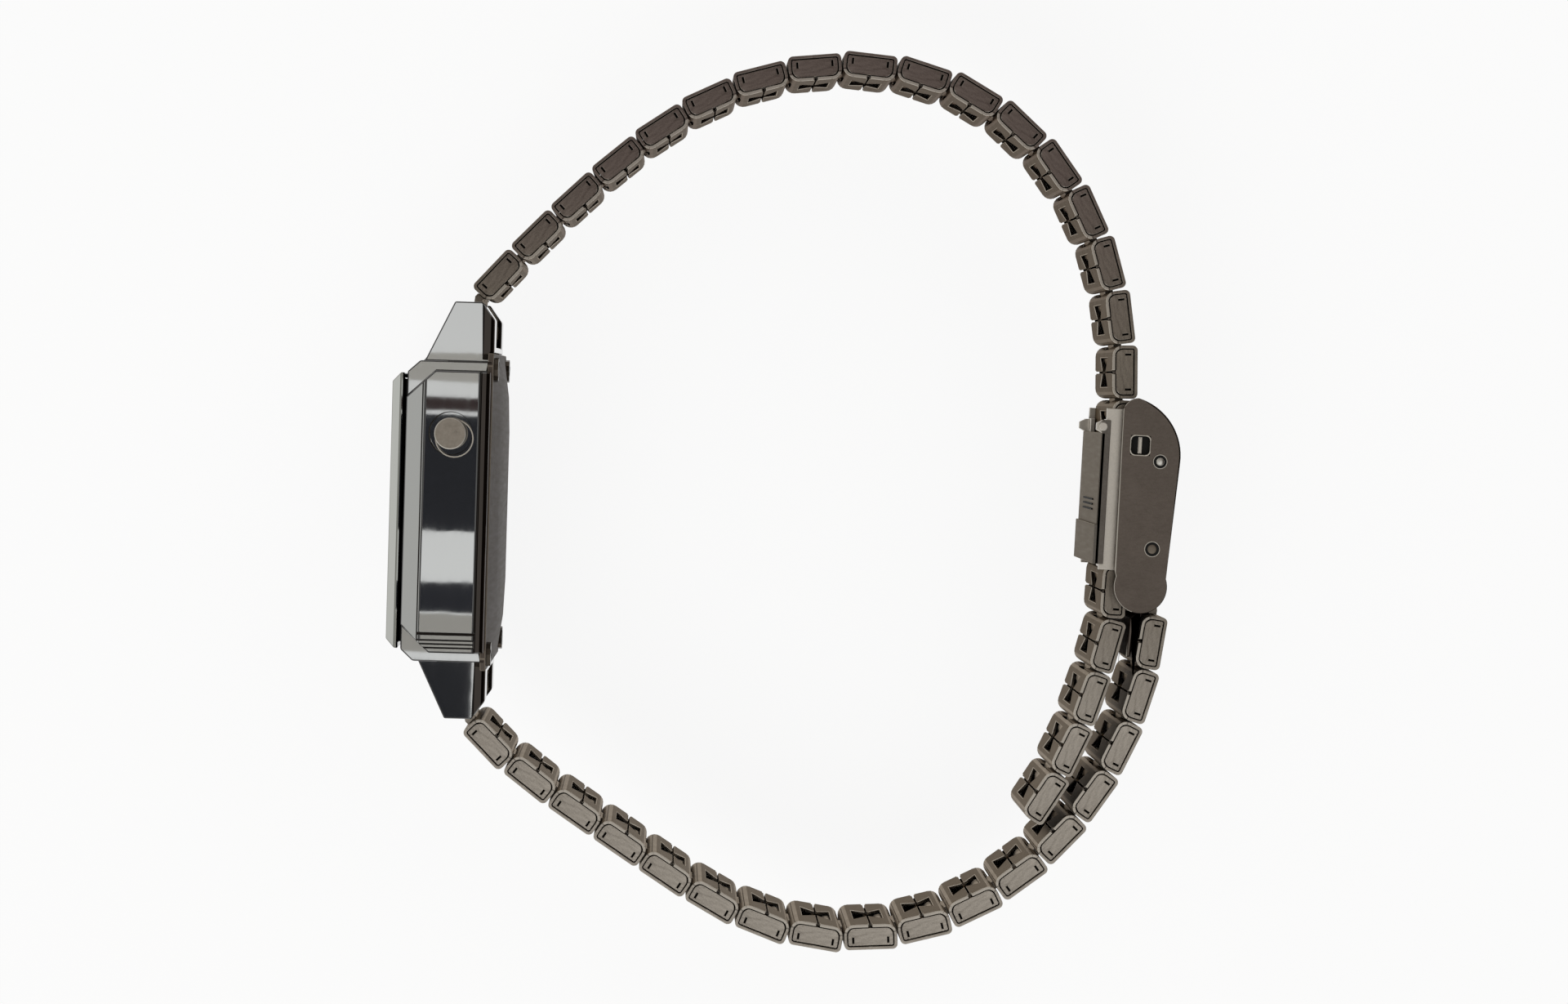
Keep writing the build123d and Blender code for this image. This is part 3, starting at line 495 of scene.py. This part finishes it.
# a face is shaded flat unless it meets a neighbour at a slight angle, as on a round
def shadeFlats(shape, sharp):
    shape.normal_update()
    for face in shape.faces:
        angles = [edge.calc_face_angle(0) for edge in face.edges]
        face.smooth = any(bevels["flattest"] < angle < sharp for angle in angles)


# makes a piece of a shape; each point keeps its place in the shape's frame, for the links' finish
def placed(shape, name, body, slotName, matrix=Matrix.Identity(4), edge=0.0, standsFor=(), sharp=35,
           finish=None, spared=()):
    shadeFlats(shape, radians(sharp))
    if edge:
        edged(shape, edge, radians(sharp), spared)
    layer = shape.verts.layers.float_vector.new("linkPlace")
    for vert in shape.verts:
        vert[layer] = vert.co
    bmesh.ops.transform(shape, matrix=Matrix.Scale(mm, 4) @ matrix, verts=shape.verts)
    mesh = bpy.data.meshes.new(name)
    shape.to_mesh(mesh)
    mesh.set_sharp_from_angle(angle=radians(sharp))
    mesh.polygons.foreach_set("use_smooth", [face.smooth for face in shape.faces])
    mesh.materials.append(finish or finishes[slotName])
    piece = bpy.data.objects.new(name, mesh)
    bpy.context.scene.collection.objects.link(piece)
    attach(piece, body)
    if standsFor:
        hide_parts(*standsFor)


# a CAD node's own mesh with its facets merged, in millimetres
def nodeShape(nodeName):
    shape = bmesh.new()
    shape.from_mesh(frame["nodes"][nodeName].data)
    bmesh.ops.scale(shape, vec=(1 / mm,) * 3, verts=shape.verts)
    bmesh.ops.remove_doubles(shape, verts=shape.verts, dist=mergeDistance)
    bmesh.ops.dissolve_limit(shape, angle_limit=bevels["flattest"], verts=shape.verts, edges=shape.edges)
    return shape


# Where the hinges are, in millimetres

hinges = {joint["child"]: [value / mm for value in joint["pos_m"][:2]]
          for joint in frame["joints"] if joint["type"] == "hinge"}
springBars = {"depth": hinges["upper_link_01"][0], "height": hinges["upper_link_01"][1]}


# Bracelet links

halfLink = link["length"] / 2
beadBack = link["wall"] + link["beadGap"] + link["beadRadius"] + link["overlength"] / 2
lead = halfLink + link["gap"] + beadBack
lag = halfLink - beadBack
pitch = link["length"] + link["gap"]
endHalf = halfLink - link["overlength"] / 2


def linkShell(frontIsOpen):
    half, wall, wide = link["thickness"] / 2, link["wall"], link["width"]
    radii = [link[name] for name in ("wristRadius", "outerRadius")]
    shape = roundedPlate(link["length"], link["thickness"], *radii, link["cornerSteps"])
    bmesh.ops.delete(shape, geom=shape.faces[:], context="FACES_ONLY")
    grown = bmesh.ops.extrude_edge_only(shape, edges=shape.edges[:])["geom"]
    top = [part for part in grown if isinstance(part, bmesh.types.BMVert)]
    bmesh.ops.translate(shape, verts=top, vec=(0, 0, wide))
    bmesh.ops.translate(shape, verts=shape.verts, vec=(0, 0, -wide / 2))
    bmesh.ops.recalc_face_normals(shape, faces=shape.faces)
    # an open tube can come out inside out
    if sum(face.normal.dot(face.calc_center_median().xy.to_3d()) for face in shape.faces) < 0:
        bmesh.ops.reverse_faces(shape, faces=shape.faces)
    wristSide = {"y": (-half - wall, -half + wall / 2)}
    opened(shape, {"x": (-link["seam"] / 2, link["seam"] / 2)}, wristSide)
    window = {"x": (-link["windowLength"] / 2, link["windowLength"] / 2),
              "z": (-link["windowWidth"] / 2, link["windowWidth"] / 2)}
    opened(shape, window, wristSide)
    for vert in shape.verts:
        if vert.co.y < -half + wall and abs(vert.co.x) < link["seam"] and abs(vert.co.z) < wide / 2 - wall:
            vert.co.z *= link["windowWaist"] / link["windowWidth"]
    for side in (-1, 1):
        mouth = sorted((side * (wide / 2 - link["mouthDepth"]), side * wide))
        opened(shape, {"x": (-link["seamMouth"] / 2, link["seamMouth"] / 2), "z": mouth}, wristSide)
    slotZ = (-link["slotHalf"], link["slotHalf"])
    opened(shape, {"y": link["rearSlot"], "z": slotZ}, {"x": (-wide, -halfLink + wall + link["rearSlotRun"])})
    if frontIsOpen:
        slotY = (-link["frontSlot"], link["frontSlot"])
        opened(shape, {"y": slotY, "z": slotZ}, {"x": (halfLink - wall, wide)})
    bmesh.ops.solidify(shape, geom=shape.faces[:], thickness=wall)
    return shape


def endPlate():
    inset = 2 * (link["wall"] + link["plateFit"])
    radii = [link[name] - link["wall"] for name in ("wristRadius", "outerRadius")]
    shape = roundedPlate(link["length"] - inset, link["thickness"] - inset, *radii, link["cornerSteps"])
    top = link["width"] / 2 - link["plateInset"]
    thickened(shape, top - link["plate"], top)
    half = link["notchWidth"] / 2
    for middle in (-link["notchPlace"], link["notchPlace"]):
        notch = {"x": (middle - half, middle + half), "y": link["notchRange"]}
        pocketed(shape, notch, {"z": (top - half, top + half)}, link["notchDepth"])
    return shape


def rootAndNeck(reach, half):
    inner = halfLink - link["wall"]
    outer = inner - link["root"]
    room = link["thickness"] / 2 - link["wall"]
    root = flatShape([(outer, -room), (inner, -room), (inner, room), (outer, room)])
    bmesh.ops.bevel(root, geom=root.verts[:], offset=link["rootRadius"], offset_type="OFFSET",
                    segments=link["rootSteps"], profile=0.5, affect="VERTICES", material=-1)
    start, side = inner - link["neckSink"], link["neck"] / 2
    neck = flatShape([(start, -side), (reach, -side), (reach, side), (start, side)])
    return [thickened(root, -half, half), thickened(neck, -half, half)]


def beadConnector():
    half = link["connectorHalf"]
    return rootAndNeck(lead, half) + [roundPin(link["beadRadius"], (lead, 0), -half, half)]


# the strip from a link's front end down to the knuckle on the pin that the strap turns on
def endConnector(reach, drop, half):
    bend, side = halfLink + strapEnds["rise"], link["neck"] / 2
    knuckle = (endHalf + reach, -drop)
    slope = atan2(-drop, knuckle[0] - bend)
    outward = Vector((-sin(slope), cos(slope))) * side
    start = halfLink + link["beadGap"]
    strip = flatShape([
        (start, side), (bend, side), Vector(knuckle) + outward, Vector(knuckle) - outward,
        Vector((bend, 0)) - outward, (start, -side),
    ])
    pin = roundPin(strapEnds["knuckle"], knuckle, -half, half, strapEnds["knuckleSides"])
    return rootAndNeck(bend, link["connectorHalf"]) + [thickened(strip, -half, half), pin]


def strapEnd(name):
    return joined(endConnector(*[strapEnds[name + size] for size in ("Reach", "Drop", "Half")]))


# dark fillers inside a link, beside its connectors, that the finish paints as shadow so that the hollow reads as
# shade
def shadeFillers():
    length, height = [link[name] - 2 * link["fillInset"] for name in ("length", "thickness")]
    layers = roundedPlate(length, height, link["fillRadius"], link["fillRadius"], link["fillSteps"])
    thickened(layers, link["fillStart"], link["fillEnd"])
    return [layers, mirrored(layers.copy(), "z")]


def linkParts(frontIsOpen=True):
    return [linkShell(frontIsOpen), endPlate(), mirrored(endPlate(), "z"), *shadeFillers()]


plainLink = joined(linkParts() + beadConnector())
lugPoint = (endHalf + strapEnds["lugReach"], -strapEnds["lugDrop"])
claspPoint = (-endHalf - strapEnds["claspReach"], -strapEnds["claspDrop"])


def placeLink(nodeName, shape, matrix):
    placed(shape, "made_" + nodeName, nodeName, "band_steel", matrix, link["edge"], (nodeName,))


# the lower spring bar with its sprung tips pushed in
def squeezedBar():
    sizes = ((strapEnds["barRadius"], strapEnds["barHalf"]), (strapEnds["tipRadius"], strapEnds["tipHalf"]))
    return [roundPin(radius, lugPoint, -half, half, strapEnds["barSides"]) for radius, half in sizes]


def linkName(strap, number):
    return f"{strap}_link_{number}" if strap == "tail" else f"{strap}_link_{number:02d}"


# a link reaches from its own hinge to the next one's, and the lower strap is numbered from its far end
def makeStraps():
    for strap, count in strapLinks.items():
        for number in range(1, count + 1):
            name = linkName(strap, number)
            back, front, shape = (-lag, 0), (lead, 0), plainLink.copy()
            backPlace = hinges[name]
            frontPlace = hinges.get(linkName(strap, number - 1 if strap == "lower" else number + 1))
            if name == "upper_link_01":
                back = (-lugPoint[0], lugPoint[1])
                shape = joined([shape, mirrored(strapEnd("lug"), "x")])
            if name == "upper_link_17":
                frontPlace = hinges["sleeve"]
            if name == "lower_link_17":
                back = claspPoint
                shape = joined([shape, mirrored(strapEnd("clasp"), "x")])
            if name == "lower_link_01":
                front, frontPlace = lugPoint, (springBars["depth"], -springBars["height"])
                shape = joined(linkParts() + [strapEnd("lug"), *squeezedBar()])
            if name == "tail_link_5":
                turn = radians(strapEnds["lastTailAngle"])
                frontPlace = (backPlace[0] + cos(turn), backPlace[1] + sin(turn))
                front, shape = (1 - lag, 0), joined(linkParts(False))  # a point ahead gives the direction
            placeLink(name, shape, twoPoint(back, front, backPlace, frontPlace))


def makeHeldLinks():
    start = (-lag - pitch, 0)
    matrix = twoPoint(start, (pitch + lead, 0), hinges["sleeve"], hinges["tail_link_1"])
    links = []
    for step in (-1, 0, 1):
        held = plainLink.copy()
        bmesh.ops.translate(held, verts=held.verts, vec=(step * pitch, 0, 0))
        links.append(held)
    piece = joined(links)
    placed(piece, "made_held_links", "sleeve", "band_steel", matrix, link["edge"], ("clasp_held_links",))
    return matrix


makeStraps()
claspPlace = makeHeldLinks()
print("bracelet links placed")


# Case, clasp and buttons: the CAD shapes with their edges broken, but not round the cover's holes

buttons = ("button_light", "button_mode", "button_alarm")
metalParts = {
    "case_body": ("case", "case_metal", 0.11), "front_bezel": ("case", "bezel_metal", 0.08),
    "case_back": ("case", "back_steel", 0.06), "clasp_sleeve": ("sleeve", "sleeve_steel", 0.05),
    "clasp_arm": ("arm", "clasp_steel", 0.06), "clasp_cover": ("cover", "clasp_steel", 0.14),
    **{name: (name, "button_metal", 0.26) for name in buttons},
}
windowRim = {
    "place": (-3.05, 1.26), "clear": 1.3, "size": 1.7, "corner": 0.42, "steps": 4, "line": 0.1, "edge": 0.04,
    "low": 7.6, "high": 7.93,
}
domedPin = {"place": (-1.82, 2.91), "clear": 0.8, "radius": 0.35, "ring": 0.18, "rise": 0.12, "base": 8.01}
flatPin = {"place": (5.26, 2.68), "clear": 0.8, "radius": 0.38, "ring": 0.2, "rise": 0.0, "base": 7.9}


def makeMetalParts():
    holes = (windowRim, domedPin, flatPin)
    spared = [((claspPlace @ Vector((*hole["place"], 0))).xy, hole["clear"]) for hole in holes]
    for nodeName, (body, slotName, edge) in metalParts.items():
        placed(nodeShape(nodeName), "made_" + nodeName, body, slotName, edge=edge, standsFor=(nodeName,),
               sharp=20, spared=spared)


# Clasp details in the clasp's frame: the flap, the window's rim and the pins' heads

flap = {
    "back": -4.94, "front": 6.7, "top": -1.15, "face": -1.85, "thickness": 0.3, "edge": 0.05,
    "inner": 7.0, "outer": 7.3, "pin": (-4.4, -1.75), "knuckle": 0.24,
    "plateBack": -3.9, "lipBack": 3.5, "lipFace": -2.05,
    "ridges": (1.5, 1.9, 2.3), "ridgeLength": 0.14, "ridgeRise": 0.1, "ridgeHalf": 3.4,
}


def flapStrip(back, front, face, half):
    inner = flap["face"] + flap["thickness"]
    return thickened(flatShape([(back, face), (front, face), (front, inner), (back, inner)]), -half, half)


def makeFlap():
    pieces = []
    for hand in (-1, 1):
        low, high = sorted((hand * flap["inner"], hand * flap["outer"]))
        skirt = flatShape([(flap["back"], flap["face"]), (flap["front"], flap["face"]),
                           (flap["front"], flap["top"]), (flap["back"], flap["top"])])
        pieces += [thickened(skirt, low, high), roundPin(flap["knuckle"], flap["pin"], low, high)]
    for back, face in ((flap["plateBack"], flap["face"]), (flap["lipBack"], flap["lipFace"])):
        pieces.append(flapStrip(back, flap["front"], face, flap["outer"]))
    placed(joined(pieces), "made_locking_flap", "flap", "sleeve_steel", claspPlace, flap["edge"],
           ("locking_flap",), finish=brushedSteel("flap steel", flapSteel))
    # the ridges are painted black as the shade between them
    length, face = flap["ridgeLength"], flap["face"] - flap["ridgeRise"]
    ridges = [flapStrip(place, place + length, face, flap["ridgeHalf"]) for place in flap["ridges"]]
    placed(joined(ridges), "flap_ridges", "flap", "sleeve_steel", claspPlace, finish=shadowFinish)


# a thin line along the edge of a flat outline round the origin
def ringPiece(outline, line, low, high):
    bmesh.ops.inset_region(outline, faces=outline.faces[:], thickness=line, use_boundary=True,
                           use_even_offset=True)
    middle = min(outline.faces, key=lambda face: face.calc_center_median().xy.length)
    bmesh.ops.delete(outline, geom=[middle], context="FACES")
    return thickened(outline, low, high)


def disc(radius, segments=32):
    shape = bmesh.new()
    bmesh.ops.create_circle(shape, cap_ends=True, radius=radius, segments=segments)
    return shape


def bothHands(shape):
    return joined([shape, mirrored(shape.copy(), "z")])


# the nib that shows in the cover's window, before the sleeve's shadow
nib = {
    "length": 1.1, "height": 0.2, "low": 7.35, "high": 7.62, "roundShare": 1 / 3, "steps": 3, "edge": 0.03,
    "shadowSize": 1.72, "shadowCorner": 0.1, "shadowSteps": 2, "shadowLow": 7.4, "shadowHigh": 7.42,
}


def inWindow(shape):
    bmesh.ops.translate(shape, verts=shape.verts, vec=(*windowRim["place"], 0))
    return bothHands(shape)


def makeWindow():
    # a painted highlight: a bright ring round the window's edge
    size, corner = windowRim["size"], windowRim["corner"]
    outline = roundedPlate(size, size, corner, corner, windowRim["steps"])
    ring = ringPiece(outline, windowRim["line"], windowRim["low"], windowRim["high"])
    placed(inWindow(ring), "window_rim", "cover", "clasp_steel", claspPlace, windowRim["edge"],
           finish=rimHighlight)
    # a painted shadow: a dark sheet behind the window
    size, corner = nib["shadowSize"], nib["shadowCorner"]
    shadow = roundedPlate(size, size, corner, corner, nib["shadowSteps"])
    thickened(shadow, nib["shadowLow"], nib["shadowHigh"])
    placed(inWindow(shadow), "window_shadow", "sleeve", "sleeve_steel", claspPlace, finish=shadowFinish)
    corner = nib["height"] * nib["roundShare"]
    strip = roundedPlate(nib["length"], nib["height"], corner, corner, nib["steps"])
    thickened(strip, nib["low"], nib["high"])
    placed(inWindow(strip), "catch_nib", "sleeve", "sleeve_steel", claspPlace, nib["edge"])


pinSeat = {"sunk": 0.06, "depth": 0.1, "shadowRise": 0.012, "rim": 0.05, "rimRise": 0.02}


def ringRound(look, radius, line, rise):
    ring = ringPiece(disc(radius), line, look["base"] - pinSeat["depth"], look["base"] + rise)
    bmesh.ops.translate(ring, verts=ring.verts, vec=(*look["place"], 0))
    return bothHands(ring)


def makePinHead(name, look, finish):
    shape = bmesh.new()
    bmesh.ops.create_uvsphere(shape, u_segments=32, v_segments=16, radius=look["radius"])
    bmesh.ops.scale(shape, vec=(1, 1, (look["rise"] + pinSeat["sunk"]) / look["radius"]), verts=shape.verts)
    bmesh.ops.translate(shape, verts=shape.verts, vec=(*look["place"], look["base"]))
    placed(bothHands(shape), name, "cover", "clasp_steel", claspPlace, finish=finish)
    # a painted shadow ring round the head and a painted highlight ring at its edge
    outer, rim = look["radius"] + look["ring"], pinSeat["rim"]
    shadow = ringRound(look, outer, look["ring"], pinSeat["shadowRise"])
    placed(shadow, name + "_shadow", "cover", "clasp_steel", claspPlace, finish=shadowFinish)
    edge = ringRound(look, outer + rim, rim, pinSeat["rimRise"])
    placed(edge, name + "_rim", "cover", "clasp_steel", claspPlace, finish=rimHighlight)


# a painted reflection: a bright ring at the recess that a button stands in, set off its middle, where the polished
# side mirrors the button
recessReflection = {"side": 14.3, "radius": 1.42, "line": 0.1, "offset": (0.3, -0.4), "rise": 0.03}


def makeRecessReflections():
    low, high = recessReflection["side"] - recessReflection["rise"], recessReflection["side"] + recessReflection["rise"]
    for name in buttons:
        corners = [vert.co / mm for vert in frame["nodes"][name].data.vertices]
        middle = sum(corners, Vector()) / len(corners)
        ring = ringPiece(disc(recessReflection["radius"] + recessReflection["line"]), recessReflection["line"], low, high)
        if middle.z < 0:
            mirrored(ring, "z")
        place = middle.xy + Vector(recessReflection["offset"])
        bmesh.ops.translate(ring, verts=ring.verts, vec=(*place, 0))
        placed(ring, f"{name}_recess_reflection", "case", "case_metal", finish=rimHighlight)


# Display: plain digits and a printed line on the dial

display = {
    "digitHeight": 4.9, "digitWidth": 2.5, "stroke": 0.5, "gap": 0.06, "pitch": 3.2, "colonRoom": 1.0,
    "dot": 0.5, "roundShare": 1 / 3, "lift": 0.02,
    "line": 0.12, "lineInset": 1.2, "lineRadius": 0.6, "lineSteps": 3, "lineLift": 0.01,
}
litBars = {"0": "abcdef", "1": "bc", "2": "abged", "8": "abcdefg"}
shownDigits = ("1", "0", "2", "8")

# turn a drawing to the front or the back of the case: its y stays, and its z faces out
towardFront = Matrix(((0, 0, -1, 0), (0, 1, 0, 0), (1, 0, 0, 0), (0, 0, 0, 1)))
towardBack = Matrix(((0, 0, 1, 0), (0, 1, 0, 0), (-1, 0, 0, 0), (0, 0, 0, 1)))


def bar(middle, length, height):
    corner = min(length, height) * display["roundShare"]
    shape = roundedPlate(length, height, corner, corner, 1)
    bmesh.ops.translate(shape, verts=shape.verts, vec=(*middle, 0))
    return shape


def digitBars(digit, left):
    half, wide, stroke = display["digitHeight"] / 2, display["digitWidth"], display["stroke"]
    long, tall = wide - stroke - 2 * display["gap"], half - stroke / 2 - 2 * display["gap"]
    middles = {
        "a": (wide / 2, half), "g": (wide / 2, 0), "d": (wide / 2, -half), "b": (wide - stroke / 2, half / 2),
        "c": (wide - stroke / 2, -half / 2), "f": (stroke / 2, half / 2), "e": (stroke / 2, -half / 2),
    }
    bars = []
    for name in litBars[digit]:
        sizes = (long, stroke) if name in "agd" else (stroke, tall)
        bars.append(bar((left + middles[name][0], middles[name][1]), *sizes))
    return bars


def nodeRange(nodeName, axis):
    values = [vert.co[axis] / mm for vert in frame["nodes"][nodeName].data.vertices]
    return min(values), max(values)


# four digits with a colon in their middle
def makeDisplay():
    pitch, room, dot = [display[name] for name in ("pitch", "colonRoom", "dot")]
    start = -(3 * pitch + room + display["digitWidth"]) / 2
    shapes = []
    for place, digit in enumerate(shownDigits):
        shapes += digitBars(digit, start + place * pitch + (room if place > 1 else 0))
    for side in (-1, 1):
        shapes.append(bar((0, side * display["digitHeight"] / 4), dot, dot))
    digits = thickened(joined(shapes), 0, display["lift"])
    place = Matrix.Translation((nodeRange("lcd_glass", 0)[0], 0, 0)) @ towardFront
    ink = plainFinish("digit ink", "#16181a", 0.5)
    placed(digits, "display_digits", "case", "dial_print", place, finish=ink)


def makeDialLine():
    high, wide = [2 * (nodeRange("crystal", axis)[1] - display["lineInset"]) for axis in (1, 2)]
    outline = roundedPlate(wide, high, display["lineRadius"], display["lineRadius"], display["lineSteps"])
    ring = ringPiece(outline, display["line"], 0, display["lineLift"])
    place = Matrix.Translation((nodeRange("dial_mask", 0)[0], 0, 0)) @ towardFront
    ink = plainFinish("line ink", "#8d9399", 0.5)
    placed(ring, "dial_line", "case", "dial_print", place, finish=ink)


# painted shade: dark flat bars that stand for the slots in the heads of the case back's screws, each turned its
# own way
screwSlot = {"length": 1.5, "width": 0.28, "lift": 0.015, "turn": 40, "turnStep": 15, "headDepth": 0.1}


def makeScrewSlots():
    corners = [vert.co / mm for vert in frame["nodes"]["case_back_screws"].data.vertices]
    back = max(corner.x for corner in corners)
    heads = [corner for corner in corners if corner.x > back - screwSlot["headDepth"]]
    bars = []
    for ySide in (-1, 1):
        for zSide in (-1, 1):
            own = [corner for corner in heads if corner.y * ySide > 0 and corner.z * zSide > 0]
            middle = sum(own, Vector()) / len(own)
            angle = radians(screwSlot["turn"] * ySide + screwSlot["turnStep"] * zSide)
            shape = bar((0, 0), screwSlot["length"], screwSlot["width"])
            bmesh.ops.rotate(shape, verts=shape.verts, matrix=Matrix.Rotation(angle, 3, "Z"))
            bmesh.ops.translate(shape, verts=shape.verts, vec=(-middle.z, middle.y, 0))
            bars.append(shape)
    slots = thickened(joined(bars), -screwSlot["lift"], screwSlot["lift"])
    place = Matrix.Translation((back, 0, 0)) @ towardBack
    placed(slots, "screw_slots", "case", "screw_steel", place, finish=shadowFinish)


# painted shadow: a dark finish for pieces that stand in for shade
shadowFinish = plainFinish("shadow gap", "#0b0a09", 0.9, spread=0.1)
# painted highlight on the thin rings at the window, the pins and the buttons' recesses
rimHighlight = plainFinish("rim highlight", "#b4ada2", 0.3, 1.0)
makeMetalParts()
makeRecessReflections()
makeDisplay()
makeDialLine()
makeScrewSlots()
print("case and clasp dressed")
makeFlap()
makeWindow()
makePinHead("arm_pin_head", domedPin, plainFinish("pin steel", "#c9c5bd", 0.18, 1.0))
makePinHead("strap_pin_head", flatPin, plainFinish("flat pin steel", "#6f665b", 0.35, 1.0))
print("clasp details made")


# Studio: floor, lamps and camera

studio = {
    "floorSize": 3.0, "floorColour": "#f4f4f3", "floorRoughness": 0.9, "floorGlow": 0.88,
    # cards from left to right and from low to high, in millimetres
    "cards": (
        (-60.0, 4.0, -13.1, 5.4, "#0c101d"), (-60.0, 4.0, 6.1, 8.1, "#2c100e"),
        (-60.0, 4.0, 10.6, 15.2, "#dedbd6"), (-60.0, 4.0, -26.0, -21.3, "#151825"),
        (-60.0, 4.0, -32.6, -26.3, "#d3d0cb"), (-60.0, -17.4, -60.0, -34.0, "#12151f"),
    ),
    "cardHeight": 336.0, "cardRoughness": 0.6, "aim": (20 * mm, 0, 0),
    "keyPlace": (-120 * mm, -220 * mm, 420 * mm), "keySize": 260 * mm, "keyPower": 0.6,
    "fillPlace": (260 * mm, 200 * mm, 380 * mm), "fillSize": 320 * mm, "fillPower": 0.3,
}
sky = {
    "strength": 1.0, "horizon": "#918f8b", "zenith": "#f4f5f5", "upperZenith": "#b2aeaa", "zenithFrom": 0.85,
    "wristSide": "#4a4440", "frontSide": "#c3c3c0",
    # how far to a side the sky starts to turn to another shade, and where it has turned
    "upperSlope": (-0.1, 0.45), "wristSlope": (0.3, 0.8), "frontSlope": (-0.3, -0.8),
}
view = {
    "place": (13.41 * mm, 9.92 * mm, 330 * mm), "target": (22.87 * mm, 1.4 * mm, 8 * mm),
    "lens": 92.0, "sensor": 36.0, "roll": 1.7, "nearest": 10 * mm,
}


# where the floor glows: seen straight on, as a reflection or through the glass
def whiteForCamera(finish, glow):
    path = finish.tree.nodes.new("ShaderNodeLightPath")
    camera, gloss, glass = [Socket(finish, path.outputs[f"Is {name} Ray"])
                            for name in ("Camera", "Glossy", "Transmission")]
    return camera.maths("MAXIMUM", camera, gloss.maths("MAXIMUM", gloss, glass)) * glow


def makeFloor():
    finish = Finish("floor paint")
    finish.set(Base_Color=paint(studio["floorColour"]), Roughness=studio["floorRoughness"])
    finish.set(Specular_IOR_Level=0.0)
    glow = finish.node("ShaderNodeEmission", {}, {"Color": (1, 1, 1, 1), "Strength": 1.0})
    diffuse = Socket(finish, finish.shader.outputs[0])
    factor = whiteForCamera(finish, studio["floorGlow"])
    surface = finish.tree.nodes["Material Output"].inputs["Surface"]
    finish.feed(surface, finish.node("ShaderNodeMixShader", {}, {0: factor, 1: diffuse, 2: glow}))
    shape = bmesh.new()
    bmesh.ops.create_grid(shape, x_segments=1, y_segments=1, size=studio["floorSize"] / 2)
    bmesh.ops.translate(shape, verts=shape.verts, vec=(0, 0, cadBox[0][2]))
    mesh = bpy.data.meshes.new("floor")
    shape.to_mesh(mesh)
    mesh.materials.append(finish.material)
    floor = bpy.data.objects.new("floor", mesh)
    bpy.context.scene.collection.objects.link(floor)


# dark and pale cards beside the camera, seen only as reflections
def makeCards():
    for number, (left, right, low, high, shade) in enumerate(studio["cards"]):
        card = plainFinish(f"card {number}", shade, studio["cardRoughness"])
        shape = bmesh.new()
        bmesh.ops.create_grid(shape, x_segments=1, y_segments=1, size=0.5)
        middle = ((left + right) / 2, (low + high) / 2, studio["cardHeight"])
        bmesh.ops.scale(shape, vec=(right - left, high - low, 1), verts=shape.verts)
        bmesh.ops.translate(shape, verts=shape.verts, vec=middle)
        bmesh.ops.scale(shape, vec=(mm, mm, mm), verts=shape.verts)
        mesh = bpy.data.meshes.new(f"card_{number}")
        shape.to_mesh(mesh)
        mesh.materials.append(card)
        holder = bpy.data.objects.new(f"card_{number}", mesh)
        holder.visible_camera = False
        holder.visible_diffuse = False
        holder.visible_shadow = False
        bpy.context.scene.collection.objects.link(holder)


def makeLamp(name, place, size, power):
    lamp = bpy.data.lights.new(name, "AREA")
    lamp.size = size
    lamp.energy = power
    holder = bpy.data.objects.new(name, lamp)
    holder.visible_glossy = False
    aim = Vector(studio["aim"]) - Vector(place)
    holder.matrix_world = Matrix.Translation(place) @ aim.to_track_quat("-Z", "Y").to_matrix().to_4x4()
    bpy.context.scene.collection.objects.link(holder)


# darker toward the horizon, so that bevels and slopes read against the flat sides
def makeWorld():
    world = bpy.data.worlds.new("studio")
    finish = Finish("sky", world)
    side, along, height = finish.axes(finish.node("ShaderNodeTexCoord", output="Generated"))

    def share(value, slope):
        sockets = {"Value": value, "From Min": slope[0], "From Max": slope[1]}
        return finish.node("ShaderNodeMapRange", {}, sockets)

    stops = [[(0.0, sky["horizon"]), (sky["zenithFrom"], sky[name])] for name in ("zenith", "upperZenith")]
    lights = [finish.node("ShaderNodeValToRGB", {"stops": pair}, {0: height}) for pair in stops]
    upward = finish.mix(share(along, sky["upperSlope"]), *lights)
    aside = finish.mix(share(side, sky["wristSlope"]), upward, sky["wristSide"])
    shade = finish.mix(share(side, sky["frontSlope"]), aside, sky["frontSide"])
    finish.set(Color=shade, Strength=sky["strength"])
    bpy.context.scene.world = world


def makeCamera():
    lens = bpy.data.cameras.new("camera")
    lens.lens = view["lens"]
    lens.sensor_width = view["sensor"]
    lens.clip_start = view["nearest"]
    camera = bpy.data.objects.new("camera", lens)
    back = (Vector(view["place"]) - Vector(view["target"])).normalized()
    roll = radians(view["roll"])
    right = Vector((-sin(roll), cos(roll), 0)).cross(back).normalized()
    turn = Matrix((right, back.cross(right), back)).transposed().to_4x4()
    camera.matrix_world = Matrix.Translation(view["place"]) @ turn
    bpy.context.scene.collection.objects.link(camera)
    bpy.context.scene.camera = camera


makeFloor()
makeCards()
makeLamp("key lamp", studio["keyPlace"], studio["keySize"], studio["keyPower"])
makeLamp("fill lamp", studio["fillPlace"], studio["fillSize"], studio["fillPower"])
makeWorld()
makeCamera()
bpy.context.scene.view_settings.view_transform = "Standard"
print("studio ready")
